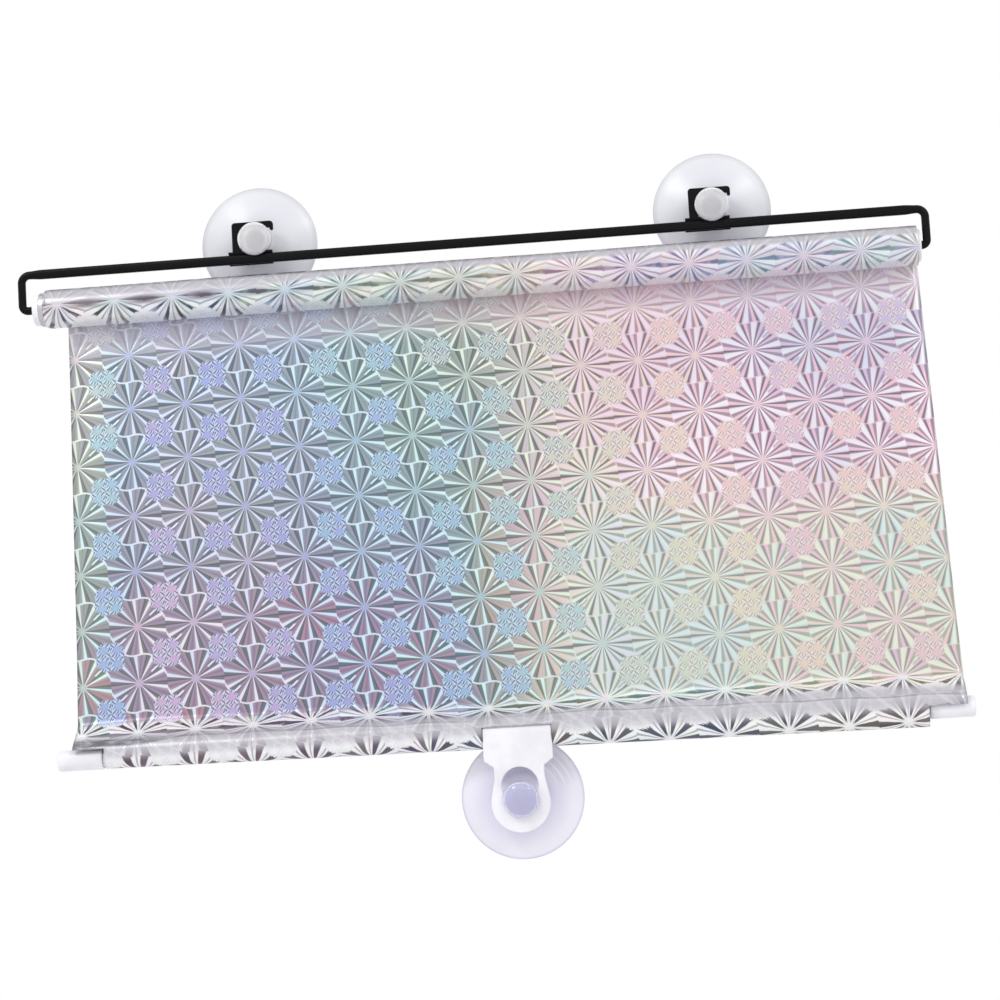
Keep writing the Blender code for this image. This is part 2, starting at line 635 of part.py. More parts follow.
def build():
    clear_scene()
    black = make_material("black_enamel", (0.012, 0.012, 0.014), 0.28, 0.0)
    white = make_material("white_plastic", (0.90, 0.89, 0.93), 0.35)
    vinyl = make_material("clear_vinyl", (0.86, 0.86, 0.93), 0.15, 0.0, 0.5)
    foil = make_material("star_film", (0.66, 0.68, 0.76), 0.2, 0.7)
    steel = make_material("spring_steel", (0.55, 0.55, 0.56), 0.3, 1.0)
    zinc = make_material("zinc_tube", (0.62, 0.63, 0.65), 0.35, 1.0)

    bracket = empty("bracket_frame", lean=GLASS_LEAN)
    roller = empty("roller_axis", ROLLER)
    rail = empty("rail_axis", RAIL)
    clip_axis = empty("clip_axis", (RAIL.x + CLIP_X, RAIL.y, RAIL.z), CLIP_LEAN)

    wire_bracket(black, bracket)
    cup_clip("cup_clip_left", LEFT_CUP_X, black, bracket)
    cup_clip("cup_clip_right", RIGHT_CUP_X, black, bracket)
    first = suction_cup("suction_cup_left", None, vinyl, bracket, (LEFT_CUP_X, 0.0, 0.0))
    suction_cup("suction_cup_right", first.data, vinyl, bracket, (RIGHT_CUP_X, 0.0, 0.0))
    lip = CUP_DOME_HEIGHT + NECK_LENGTH - CLIP_OUTER - GAP
    suction_cup("suction_cup_bottom", first.data, vinyl, clip_axis, (0.0, lip, -CUP_BELOW_RAIL))

    spring_arbor(steel, bracket)
    roller_parts(white, steel, zinc, roller)
    film_roll(foil, roller)
    film_sheet(foil)
    film_hem(foil, rail)
    bottom_rail(white, rail)
    rail_clip(white, clip_axis)


build()
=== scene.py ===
import bpy
import bmesh
import math
from mathutils import Matrix, Vector


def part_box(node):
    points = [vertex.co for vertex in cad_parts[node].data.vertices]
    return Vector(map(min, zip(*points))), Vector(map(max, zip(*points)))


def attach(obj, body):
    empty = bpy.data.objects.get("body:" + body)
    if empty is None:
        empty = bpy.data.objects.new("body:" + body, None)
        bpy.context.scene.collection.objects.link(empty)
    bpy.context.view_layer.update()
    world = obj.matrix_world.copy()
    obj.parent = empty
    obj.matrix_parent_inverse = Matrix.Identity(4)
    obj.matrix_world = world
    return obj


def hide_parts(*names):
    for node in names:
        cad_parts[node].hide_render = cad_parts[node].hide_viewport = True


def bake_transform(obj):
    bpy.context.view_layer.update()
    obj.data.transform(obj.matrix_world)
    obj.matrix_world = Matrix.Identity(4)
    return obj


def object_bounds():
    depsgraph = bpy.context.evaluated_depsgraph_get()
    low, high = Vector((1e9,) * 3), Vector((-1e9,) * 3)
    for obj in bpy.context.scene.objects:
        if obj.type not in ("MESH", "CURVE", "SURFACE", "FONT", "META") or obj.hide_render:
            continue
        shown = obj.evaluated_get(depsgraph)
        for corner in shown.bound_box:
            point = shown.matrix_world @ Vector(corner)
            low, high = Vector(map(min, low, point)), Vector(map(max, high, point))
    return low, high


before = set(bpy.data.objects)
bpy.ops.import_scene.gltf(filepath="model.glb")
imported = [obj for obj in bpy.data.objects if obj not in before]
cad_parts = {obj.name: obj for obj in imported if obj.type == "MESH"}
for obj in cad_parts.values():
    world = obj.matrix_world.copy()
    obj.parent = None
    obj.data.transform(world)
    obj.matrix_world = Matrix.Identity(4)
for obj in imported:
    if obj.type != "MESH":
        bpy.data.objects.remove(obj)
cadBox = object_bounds()
print("frame loaded:", len(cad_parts), "nodes")


def nodeBox(name):
    # a node's lowest and highest corner
    low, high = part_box(name)
    return low, high


def boxCentre(name):
    low, high = nodeBox(name)
    return (low + high) / 2


def srgb(red, green, blue):
    # a colour as seen on screen, 0 to 255, to the linear values that shaders take
    linear = []
    for channel in (red, green, blue):
        value = channel / 255
        linear.append(value / 12.92 if value <= 0.04045 else ((value + 0.055) / 1.055) ** 2.4)
    return (*linear, 1.0)


# how far the bracket and the clip lean, and the main places, taken from the frame
glassLean = math.radians(9.0)
clipLean = math.radians(12.0)
rollBox = nodeBox("film_roll")
rollAxis = boxCentre("film_roll")
rollRadius = (rollBox[1].z - rollBox[0].z) / 2
railAxis = boxCentre("bottom_rail")
sheetBox = nodeBox("film_sheet")
sheetY = (sheetBox[0].y + sheetBox[1].y) / 2
leanMatrix = Matrix.Rotation(glassLean, 4, "X")


# shader helpers
class Value:
    # a shader socket on which + - * / and abs() work: each makes one Math node in the socket's own tree
    def __init__(self, socket):
        self.socket = socket
        self.tree = socket.id_data

    def __add__(self, other):
        return maths("ADD", self, other)

    def __sub__(self, other):
        return maths("SUBTRACT", self, other)

    def __rsub__(self, other):
        return maths("SUBTRACT", other, self)

    def __mul__(self, other):
        return maths("MULTIPLY", self, other)

    def __truediv__(self, other):
        return maths("DIVIDE", self, other)

    def __abs__(self):
        return maths("ABSOLUTE", self)


def plug(value, socket):
    if isinstance(value, Value):
        value.tree.links.new(value.socket, socket)
    else:
        socket.default_value = value


def addNode(kind, *values):
    # a node in the same tree as the first of its values that is a socket
    tree = next(value.tree for value in values if isinstance(value, Value))
    return tree.nodes.new("ShaderNode" + kind)


def maths(operation, *values):
    node = addNode("Math", *values)
    node.operation = operation
    for value, socket in zip(values, node.inputs):
        plug(value, socket)
    return Value(node.outputs[0])


def vectorMaths(operation, *values):
    node = addNode("VectorMath", *values)
    node.operation = operation
    for value, socket in zip(values, node.inputs):
        plug(value, socket)
    return Value(node.outputs["Value" if operation in ("DOT_PRODUCT", "LENGTH") else "Vector"])


def scaled(vector, amount):
    node = addNode("VectorMath", amount)
    node.operation = "SCALE"
    node.inputs[0].default_value = vector
    plug(amount, node.inputs["Scale"])
    return Value(node.outputs[0])


def distance(place, centre, stretch=None):
    away = vectorMaths("SUBTRACT", place, centre)
    if stretch:
        away = vectorMaths("MULTIPLY", away, stretch)
    return vectorMaths("LENGTH", away)


def soften(value, start, end, low=0.0, high=1.0):
    # a smooth step from low to high as value goes from start to end
    node = addNode("MapRange", value)
    node.interpolation_type = "SMOOTHSTEP"
    plug(value, node.inputs["Value"])
    for name, number in (("From Min", start), ("From Max", end), ("To Min", low), ("To Max", high)):
        plug(number, node.inputs[name])
    return Value(node.outputs["Result"])


def wrapped(value, centre):
    # distance from centre on a scale that repeats every 1, from 0 to 0.5
    return abs(maths("FRACT", value - centre + 0.5) - 0.5)


def blendColour(amount, first, second, mode="MIX"):
    node = addNode("Mix", amount, first, second)
    node.data_type = "RGBA"
    node.blend_type = mode
    plug(amount, node.inputs[0])
    plug(first, node.inputs[6])
    plug(second, node.inputs[7])
    return Value(node.outputs[2])


def combine(x, y, z):
    node = addNode("CombineXYZ", x, y, z)
    for value, socket in zip((x, y, z), node.inputs):
        plug(value, socket)
    return Value(node.outputs[0])


def separate(vector):
    node = addNode("SeparateXYZ", vector)
    plug(vector, node.inputs[0])
    return [Value(socket) for socket in node.outputs]


def noise(vector, scale, detail=2.0):
    node = addNode("TexNoise", vector)
    plug(vector, node.inputs["Vector"])
    plug(scale, node.inputs["Scale"])
    node.inputs["Detail"].default_value = detail
    return Value(node.outputs["Fac"])


def whiteNoise(vector):
    # a number from 0 to 1 that differs from cell to cell
    node = addNode("TexWhiteNoise", vector)
    plug(vector, node.inputs["Vector"])
    return Value(node.outputs["Value"])


def colourRamp(amount, stops):
    node = addNode("ValToRGB", amount)
    plug(amount, node.inputs[0])
    ramp = node.color_ramp
    while len(ramp.elements) < len(stops):
        ramp.elements.new(0.5)
    for element, (place, colour) in zip(ramp.elements, stops):
        element.position = place
        element.color = colour
    return Value(node.outputs[0])


def objectPlace(tree):
    return Value(tree.nodes.new("ShaderNodeTexCoord").outputs["Object"])


def attributeValue(tree, name):
    node = tree.nodes.new("ShaderNodeAttribute")
    node.attribute_name = name
    return Value(node.outputs["Fac"])


def newGroup(name, inputs, outputs):
    # a shader node group with its sockets: (name, kind, default) for inputs, (name, kind) for outputs
    group = bpy.data.node_groups.new(name, "ShaderNodeTree")
    for label, kind, default in inputs:
        socket = group.interface.new_socket(label, in_out="INPUT", socket_type="NodeSocket" + kind)
        if default is not None:
            socket.default_value = default
    for label, kind in outputs:
        group.interface.new_socket(label, in_out="OUTPUT", socket_type="NodeSocket" + kind)
    given = {socket.name: Value(socket) for socket in group.nodes.new("NodeGroupInput").outputs}
    return group, given, group.nodes.new("NodeGroupOutput").inputs


def useGroup(tree, group, **values):
    node = tree.nodes.new("ShaderNodeGroup")
    node.node_tree = group
    for label, value in values.items():
        plug(value, node.inputs[label])
    return {socket.name: Value(socket) for socket in node.outputs}


def newMaterial(name, **settings):
    material = bpy.data.materials.new(name)
    material.use_nodes = True
    tree = material.node_tree
    shader = tree.nodes["Principled BSDF"]
    for label, value in settings.items():
        plug(value, shader.inputs[label.replace("_", " ")])
    return material, tree, shader


def addBump(shader, height, strength, depth):
    bump = addNode("Bump", height)
    bump.inputs["Strength"].default_value = strength
    bump.inputs["Distance"].default_value = depth
    plug(height, bump.inputs["Height"])
    plug(Value(bump.outputs[0]), shader.inputs["Normal"])


# the holographic ornament: a square lattice of ten-ray stars, with four small stars in each corner gap
filmPrint = {
    "pitch": 0.02646,
    "tilt": math.radians(1.21),
    "firstStar": (-0.1896, -0.04975),
    "rays": 10,
    "rayPhase": math.radians(93.5),
    "clusterHalf": 0.25,
    "smallRays": 12,
    "dashLean": math.radians(41),
    "pixel": 0.000485,          # how far one step of the wander below goes
}

spectrumStops = [
    (0.00, srgb(172, 156, 210)),
    (0.10, srgb(152, 160, 220)),
    (0.22, srgb(146, 188, 222)),
    (0.36, srgb(154, 212, 202)),
    (0.48, srgb(190, 216, 172)),
    (0.58, srgb(222, 214, 168)),
    (0.70, srgb(232, 192, 178)),
    (0.84, srgb(226, 172, 198)),
    (1.00, srgb(172, 156, 210)),
]


def makeLattice():
    # where a point lies in the lattice: big star, cell border, small star
    numbers = ("Across", "Up", "Radius", "Angle", "Border", "Cluster", "Small Across", "Small Up")
    places = ("Star", "Star Place", "Small Star", "Cluster Place")
    wanted = [(label, "Float") for label in numbers] + [(label, "Vector") for label in places]
    group, given, out = newGroup("starLattice", [("Place", "Vector", None)], wanted)
    pitch, tilt = filmPrint["pitch"], filmPrint["tilt"]
    originX, originZ = filmPrint["firstStar"]
    shifted = vectorMaths("SUBTRACT", given["Place"], (originX, 0.0, originZ))
    right = Vector((math.cos(tilt), 0.0, math.sin(tilt)))
    upward = Vector((-math.sin(tilt), 0.0, math.cos(tilt)))
    u = vectorMaths("DOT_PRODUCT", shifted, right / pitch)
    w = vectorMaths("DOT_PRODUCT", shifted, upward / pitch)
    nearU = u - maths("ROUND", u)
    nearW = w - maths("ROUND", w)
    # the borders between stars aren't straight: a wave between upper and lower, an S between left and right
    heldW = maths("MAXIMUM", maths("MINIMUM", nearW, 0.28), -0.28)
    slantU = heldW * 0.05 + u + heldW * (heldW * heldW) * 4.5
    wave = maths("SINE", nearU * 10.5) * -0.038
    slantW = nearU * 0.2 + w + wave
    starU = maths("ROUND", slantU)
    starW = maths("ROUND", slantW)
    across = u - starU
    up = w - starW
    plug(across, out["Across"])
    plug(up, out["Up"])
    plug(combine(starU, 0.0, starW), out["Star"])
    centre = vectorMaths("ADD", scaled(right * pitch, starU), scaled(upward * pitch, starW))
    plug(vectorMaths("ADD", centre, (originX, 0.0, originZ)), out["Star Place"])
    plug(maths("SQRT", across * across + up * up), out["Radius"])
    plug(maths("ARCTAN2", up, across), out["Angle"])
    edgeU = 0.5 - abs(slantU - starU)
    edgeW = 0.5 - abs(slantW - starW)
    lineU = soften(edgeU, 0.024, 0.008) * soften(abs(nearW), 0.1, 0.16)
    lineW = soften(edgeW, 0.022, 0.008)
    plug(maths("MAXIMUM", lineU, lineW), out["Border"])
    cornerU = maths("FRACT", u) - 0.5
    cornerW = maths("FRACT", w) - 0.5
    absU = abs(cornerU)
    absW = abs(cornerW)
    square = maths("MAXIMUM", absU, absW)
    diamond = (absU + absW) * 0.64
    fineU = u * 4.0
    fineW = w * 4.0
    smallU = maths("FRACT", fineU) - 0.5
    smallW = maths("FRACT", fineW) - 0.5
    spikes = maths("SINE", maths("ARCTAN2", smallW, smallU) * 12.0)
    reach = spikes * 0.012 + maths("MAXIMUM", square, diamond)
    half = filmPrint["clusterHalf"]
    plug(soften(reach, half + 0.012, half - 0.012), out["Cluster"])
    plug(combine(maths("FLOOR", fineU), 7.0, maths("FLOOR", fineW)), out["Small Star"])
    plug(smallU, out["Small Across"])
    plug(smallW, out["Small Up"])
    cellU = maths("FLOOR", u) + 0.5
    cellW = maths("FLOOR", w) + 0.5
    middle = vectorMaths("ADD", scaled(right * pitch, cellU), scaled(upward * pitch, cellW))
    plug(vectorMaths("ADD", middle, (originX, 0.0, originZ)), out["Cluster Place"])
    return group


def makeSpectrum():
    # which colour of the rainbow a place shows: a slow run over the film, with wandering patches
    group, given, out = newGroup("filmSpectrum", [("Place", "Vector", None), ("Shift", "Float", 0.0)],
                                 [("Color", "Color")])
    x, _, z = separate(given["Place"])
    phase = z * 1.5 + (x * 3.01 + 0.571)
    # the left edge runs back through green and yellow to pink
    phase = phase + soften(x, -0.15, -0.19, 0.0, 0.72)
    # the lower right turns to mint
    mint = distance(given["Place"], (0.205, 0.0, -0.15), (1.0, 0.0, 0.6))
    phase = phase + soften(mint, 0.06, 0.01, 0.0, -0.3)
    phase = phase + (noise(given["Place"], 26.0, 1.0) - 0.5) * 0.34 + given["Shift"]
    # and so does a patch low in the middle
    patch = soften(distance(given["Place"], (0.088, 0.0, -0.205)), 0.075, 0.015, 0.0, 0.5)
    phase = phase * (1.0 - patch) + patch * 0.39
    plug(colourRamp(maths("FRACT", phase), spectrumStops), out["Color"])
    return group


lattice = makeLattice()
spectrum = makeSpectrum()

filmFinish = {
    "metallic": 0.30, "relief": 0.08, "reliefDepth": 0.0005, "specular": 0.25,
    "creaseLine": -0.2385, "creaseFall": -0.020, "crushDrop": -0.0022,
}

# how the faces of a ray look from left to right over the film
rayFaces = {
    "bright": [(0.0, srgb(232, 246, 252)), (0.5, srgb(246, 247, 242)), (1.0, srgb(240, 210, 222))],
    "wedge": [(0.0, srgb(150, 160, 163)), (0.5, srgb(231, 217, 223)), (1.0, srgb(248, 238, 243))],
    "dark": [(0.0, srgb(90, 106, 110)), (0.5, srgb(118, 114, 116)), (1.0, srgb(152, 134, 142))],
    "core": [(0.0, srgb(96, 84, 98)), (0.5, srgb(98, 90, 96)), (1.0, srgb(98, 84, 102))],
    "shade": [(0.0, srgb(146, 150, 160)), (0.5, srgb(160, 149, 154)), (1.0, srgb(158, 140, 148))],
}

# the same for the small stars, from left to right
smallFaces = {
    "bright": [(0.0, srgb(204, 218, 238)), (1.0, srgb(238, 226, 226))],
    "dark": [(0.0, srgb(98, 106, 130)), (1.0, srgb(188, 170, 174))],
    "middle": [(0.0, srgb(166, 174, 214)), (1.0, srgb(230, 210, 214))],
}

# colours that are dealt out by chance: a star's mauve, and a ray's painted dark reflection on the hem
mauveStops = [(0.0, srgb(142, 112, 158)), (0.7, srgb(158, 112, 150)),
              (0.9, srgb(170, 108, 134)), (1.0, srgb(196, 96, 116))]
hemReflectionStops = [(0.0, srgb(58, 50, 64)), (0.45, srgb(96, 86, 92)),
               (0.75, srgb(72, 70, 86)), (1.0, srgb(120, 108, 110))]


def makeStarFoil():
    # the finished print: Silver turns the rainbow film to black and white fans of painted reflection; the
    # sheen input washes it out as a painted sheen of reflected white
    group, given, out = newGroup(
        "starFoil",
        [("Place", "Vector", None), ("Silver", "Float", 0.0), ("Pale", "Float", 0.0)],
        [("Color", "Color"), ("Height", "Float"), ("Roughness", "Float")],
    )
    # the film isn't dead flat, so its print wanders a little from a true grid
    x, _, z = separate(given["Place"])
    step = filmPrint["pixel"]
    sway = maths("COSINE", x * 17.0 + 1.44)
    acrossPull = sway * (1.4 * step) + 0.5 * step
    top = soften(z, -0.2, -0.045, 0.2, 1.0)
    downPull = soften(x, -0.045, -0.165, 0.0, 2.6 * step) + soften(x, 0.125, 0.185, 0.0, 1.5 * step)
    pull = combine(acrossPull, 0.0, downPull * top)
    place = vectorMaths("ADD", given["Place"], pull)
    grid = useGroup(group, lattice, Place=place)
    starJitter = whiteNoise(grid["Star"])
    starShift = (starJitter - 0.5) * 0.14
    smallShift = (whiteNoise(grid["Small Star"]) - 0.5) * 0.1

    # how the light falls: grey wedges and white rays at the left, white wedges and tinted rays at the right
    light = soften(x, -0.02, 0.1)

    # the faces of a ray, clockwise
    turn = (filmPrint["rayPhase"] - grid["Angle"]) / (math.tau / filmPrint["rays"])
    share = maths("FRACT", turn)
    rayCentre = soften(light, 0.0, 1.0, 0.915, 0.815)
    ray = soften(wrapped(turn, rayCentre), soften(light, 0.0, 1.0, 0.135, 0.15), 0.065)
    wedge = soften(wrapped(turn, 0.33), soften(light, 0.0, 1.0, 0.27, 0.23), 0.13)
    darkSide = soften(share, 0.4, 0.52) * soften(share, 0.94, 0.86)
    fold = soften(wrapped(turn, 0.27), 0.045, 0.01) * soften(light, 0.5, 0.0, 0.0, 0.55)

    # where the wedges are more strongly tinted than the rays, or have a colour of their own
    vivid = soften(noise(given["Place"], 11.0, 1.0), 0.35, 0.65, 0.1, 0.42)
    mauve = soften(distance(given["Place"], (-0.095, 0.0, -0.215), (0.62, 0.0, 1.0)), 0.085, 0.03)
    middle = soften(x, -0.012, 0.006) * soften(x, 0.06, 0.03) * soften(z, -0.1, -0.15)
    low = soften(z, -0.115, -0.165)
    lowRight = light * low
    vivid = maths("MAXIMUM", vivid, maths("MAXIMUM", middle, lowRight) * 0.42)
    # each ray has its own hue, more so where the film is bent
    rayJitter = whiteNoise(vectorMaths("ADD", grid["Star"], combine(0.0, 0.0, maths("FLOOR", turn))))
    rayShift = (rayJitter - 0.5) * (given["Silver"] * 0.55 + 0.2) + (grid["Up"] * 0.16 + starShift)
    wedgeShift = starShift + light * soften(low, 0.0, 1.0, 0.2, -0.21) + middle * 0.33
    rayTint = useGroup(group, spectrum, Place=place, Shift=rayShift)["Color"]
    wedgeTint = useGroup(group, spectrum, Place=grid["Star Place"], Shift=wedgeShift)["Color"]
    foldTint = useGroup(group, spectrum, Place=grid["Star Place"], Shift=starShift + 0.55)["Color"]
    discTint = useGroup(group, spectrum, Place=grid["Star Place"], Shift=starShift)["Color"]
    smallTint = useGroup(group, spectrum, Place=grid["Cluster Place"], Shift=smallShift)["Color"]
    bright = blendColour(soften(light, 0.0, 1.0, 0.34, 0.45), colourRamp(light, rayFaces["bright"]), rayTint)
    deep = blendColour(soften(x, -0.02, 0.05, 1.0, 0.0), wedgeTint, srgb(194, 202, 208), "MULTIPLY")
    broad = blendColour(vivid, colourRamp(light, rayFaces["wedge"]), deep)
    broad = blendColour(mauve * 0.68, broad, colourRamp(starJitter, mauveStops))
    broad = blendColour(soften(share, 0.3, 0.45) * 0.15, broad, foldTint)
    dark = blendColour(0.16, colourRamp(light, rayFaces["dark"]), wedgeTint)
    dark = blendColour(lowRight * 0.27, dark, srgb(196, 212, 204))
    shade = blendColour(0.2, colourRamp(light, rayFaces["shade"]), wedgeTint)
    shade = blendColour(lowRight * 0.28, shade, srgb(196, 216, 206))
    colour = blendColour(darkSide, shade, dark)
    core = blendColour(lowRight * 0.32, colourRamp(light, rayFaces["core"]), srgb(190, 190, 188))
    coreLine = soften(wrapped(turn, soften(light, 0.0, 1.0, 0.585, 0.64)), 0.07, 0.02)
    colour = blendColour(coreLine * 0.62, colour, core)
    colour = blendColour(wedge, colour, broad)
    colour = blendColour(fold, colour, dark)
    colour = blendColour(ray, colour, bright)

    # a short bright stroke in the two wedges that point at a cluster
    lean = filmPrint["dashLean"]
    along = abs(grid["Across"] * math.cos(lean) + grid["Up"] * math.sin(lean))
    beside = abs(grid["Up"] * math.cos(lean) - grid["Across"] * math.sin(lean))
    stretch = soften(along, 0.27, 0.31) * soften(along, 0.5, 0.46)
    flank = soften(beside, 0.055, 0.028) * stretch
    stroke = soften(beside, 0.022, 0.01) * stretch
    colour = blendColour(flank * 0.7, colour, dark)
    colour = blendColour(stroke, colour, bright)
    disc = soften(grid["Radius"], 0.105, 0.04, 0.0, 0.85)
    discBase = blendColour(light, srgb(176, 182, 206), srgb(232, 216, 220))
    colour = blendColour(disc, colour, blendColour(0.45, discBase, discTint))
    border = grid["Border"] * soften(light, 0.0, 1.0, 0.95, 0.5)
    colour = blendColour(border, colour, bright)

    # small stars: a tinted middle, and hatched diamonds between them
    sa, su = grid["Small Across"], grid["Small Up"]
    smallRadius = maths("SQRT", sa * sa + su * su)
    smallTurn = maths("ARCTAN2", su, sa) * filmPrint["smallRays"]
    smallRay = soften(maths("SINE", smallTurn), -0.35, 0.35)
    between = 0.5 - abs(abs(sa) - abs(su))
    rim = soften(abs(between - 0.32), 0.075, 0.03)
    slope = sa * 29.0 - su * 17.0
    hatch = soften(maths("SINE", slope), -0.5, 0.5)
    inside = soften(between, 0.3, 0.24)
    spiky = maths("SINE", smallTurn) * -0.035 + smallRadius
    outside = soften(spiky, 0.18, 0.34)
    smallBright = blendColour(0.3, colourRamp(light, smallFaces["bright"]), smallTint)
    smallDark = blendColour(0.16, colourRamp(light, smallFaces["dark"]), smallTint)
    middleShare = soften(light, 0.0, 1.0, 0.48, 0.5)
    smallMiddle = blendColour(middleShare, smallTint, colourRamp(light, smallFaces["middle"]))
    lines = blendColour(smallRay, smallDark, smallBright)
    lines = blendColour(inside, lines, blendColour(hatch, smallDark, smallBright))
    lines = blendColour(rim * 0.5, lines, smallBright)
    smallColour = blendColour(outside, smallMiddle, lines)
    colour = blendColour(grid["Cluster"], colour, smallColour)

    # silver: where the film is bent, the faces are painted as dark and white reflections
    notCluster = 1.0 - grid["Cluster"]
    crumpled = noise(vectorMaths("MULTIPLY", place, (1.6, 1.0, 1.0)), 150.0, 1.0)
    bent = (crumpled - 0.5) * 0.12 + turn
    bentShare = maths("FRACT", bent)
    onHem = soften(z, -0.226, -0.236)
    blackFan = soften(bentShare - (onHem * -0.15 + 0.44), 0.0, 0.07) * soften(bentShare, 0.8, 0.72)
    blackFan = blackFan * maths("MAXIMUM", onHem, soften(noise(place, 120.0), 0.34, 0.54, 0.55, 1.0))
    blackFan = maths("MAXIMUM", blackFan, soften(wrapped(bent, 0.1), 0.08, 0.03) * 0.6)
    fringeShare = soften(x, -0.17, -0.05, 0.8, 2.4) * soften(onHem, 0.0, 1.0, 1.0, 0.35)
    fringe = blackFan * (1.0 - blackFan) * fringeShare
    silverSmall = grid["Cluster"] * outside * (1.0 - hatch)
    silverDark = maths("MAXIMUM", blackFan * notCluster, silverSmall * 0.12)
    silverDark = silverDark * soften(grid["Radius"], 0.05, 0.15)
    onRoll = soften(z, -0.12, -0.06) * soften(x, -0.15, -0.02)
    baseTint = soften(x, -0.17, -0.05, 0.1, 0.2) * soften(onHem, 0.0, 1.0, 1.0, 0.4)
    silverBase = blendColour(baseTint, srgb(252, 252, 253), rayTint)
    onSheet = soften(z, -0.234, -0.226) * soften(x, -0.05, 0.03)
    reflectionTint = maths("MAXIMUM", onRoll * 0.26, onSheet * 0.45)
    # the painted dark reflection, tinted by the rainbow on the roll and the sheet
    darkReflection = blendColour(onHem, srgb(46, 42, 52), colourRamp(rayJitter, hemReflectionStops))
    darkReflection = blendColour(reflectionTint + 0.1, darkReflection, wedgeTint)
    silver = blendColour(silverDark, silverBase, darkReflection)
    fringeTint = useGroup(group, spectrum, Place=place, Shift=grid["Angle"] * 0.35)["Color"]
    silver = blendColour(fringe * notCluster, silver, fringeTint)
    colour = blendColour(lowRight, colour, srgb(248, 255, 252), "MULTIPLY")
    colour = blendColour(soften(x, -0.164, -0.182), colour, srgb(52, 26, 34), "SCREEN")
    colour = blendColour(given["Silver"], colour, silver)
    # painted sheen: a washed-out pale grey where the film tilts up and reflects white, with faint rays kept
    paintedSheenLines = maths("MAXIMUM", ray, border)
    paintedSheenBase = blendColour(paintedSheenLines * 0.45, srgb(189, 186, 194), srgb(220, 219, 226))
    colour = blendColour(given["Pale"], colour, paintedSheenBase)
    plug(colour, out["Color"])
    plug((ray - darkSide * 0.6) * notCluster, out["Height"])
    plug(soften(ray, 0.0, 1.0, 0.32, 0.24), out["Roughness"])
    return group


starFoil = makeStarFoil()
print("ornament groups made")


def makeFilmMaterial():
    # the pattern lies on the film's own plan: object place, moved by how much film a bend has used up
    finish = filmFinish
    material, tree, shader = newMaterial("starFilm", Metallic=finish["metallic"],
                                         Specular_IOR_Level=finish["specular"])
    place = vectorMaths("ADD", objectPlace(tree), combine(0.0, 0.0, attributeValue(tree, "planShift")))
    silver = attributeValue(tree, "silver")
    found = useGroup(tree, starFoil, Place=place, Silver=silver, Pale=attributeValue(tree, "paintedSheen"))
    # a soft crease runs along the hem, in two runs, drawn as a painted shadow line that is wider and darker
    # at the left where the film is crushed, with a painted highlight just below it
    x, _, z = separate(place)
    past = maths("MAXIMUM", x + (soften(x, 0.024, 0.026) * -0.165 + 0.13), 0.0)
    ripple = maths("SINE", x * 170.0) * 0.0004
    line = past * finish["creaseFall"] + finish["creaseLine"]
    crushed = soften(x, -0.125, -0.175)
    line = crushed * finish["crushDrop"] + line
    off = z - (line + ripple)
    width = crushed * 0.0034 + 0.0006
    ends = soften(abs(x - 0.008), 0.01, 0.024) * soften(silver, 0.02, 0.3)
    uneven = soften(noise(vectorMaths("MULTIPLY", place, (1.0, 1.0, 6.0)), 130.0, 3.0), 0.3, 0.7, 0.35, 1.0)
    crease = soften(abs(off), width, width * 0.3) * ends
    # painted shadow along the crease, uneven and darker where crushed; below it a painted highlight
    dark = crease * (uneven * soften(crushed, 0.0, 1.0, 0.42, 0.92))
    creaseHighlight = soften(abs(off + 0.0011), 0.0007, 0.0002, 0.0, 0.15)
    colour = blendColour(creaseHighlight * ends, found["Color"], srgb(232, 232, 238))
    colour = blendColour(dark, colour, srgb(88, 87, 96))
    # painted light: next to the roll the film's colour is lightened to offset the roll's shade
    paintedLift = blendColour(soften(x, -0.1, 0.05), srgb(186, 176, 196), srgb(200, 172, 182))
    colour = blendColour(soften(z, -0.056, -0.037, 0.0, 0.95), colour, paintedLift, "SCREEN")
    plug(colour, shader.inputs["Base Color"])
    plug(found["Roughness"], shader.inputs["Roughness"])
    addBump(shader, found["Height"], finish["relief"], finish["reliefDepth"])
    return material


filmMaterial = makeFilmMaterial()


# meshes
def addMesh(name, bm, material, smoothAngle=40.0):
    bmesh.ops.recalc_face_normals(bm, faces=bm.faces)
    mesh = bpy.data.meshes.new(name)
    bm.to_mesh(mesh)
    bm.free()
    mesh.materials.append(material)
    mesh.shade_smooth()
    mesh.set_sharp_from_angle(angle=math.radians(smoothAngle))
    piece = bpy.data.objects.new(name, mesh)
    bpy.context.scene.collection.objects.link(piece)
    return piece


def arc(centre, radius, start, end, steps):
    # points of an arc in degrees; radius may be a pair for an ellipse
    wide, high = radius if isinstance(radius, tuple) else (radius, radius)
    points = []
    for i in range(steps + 1):
        angle = math.radians(start + (end - start) * i / steps)
        points.append((centre[0] + wide * math.cos(angle), centre[1] + high * math.sin(angle)))
    return points


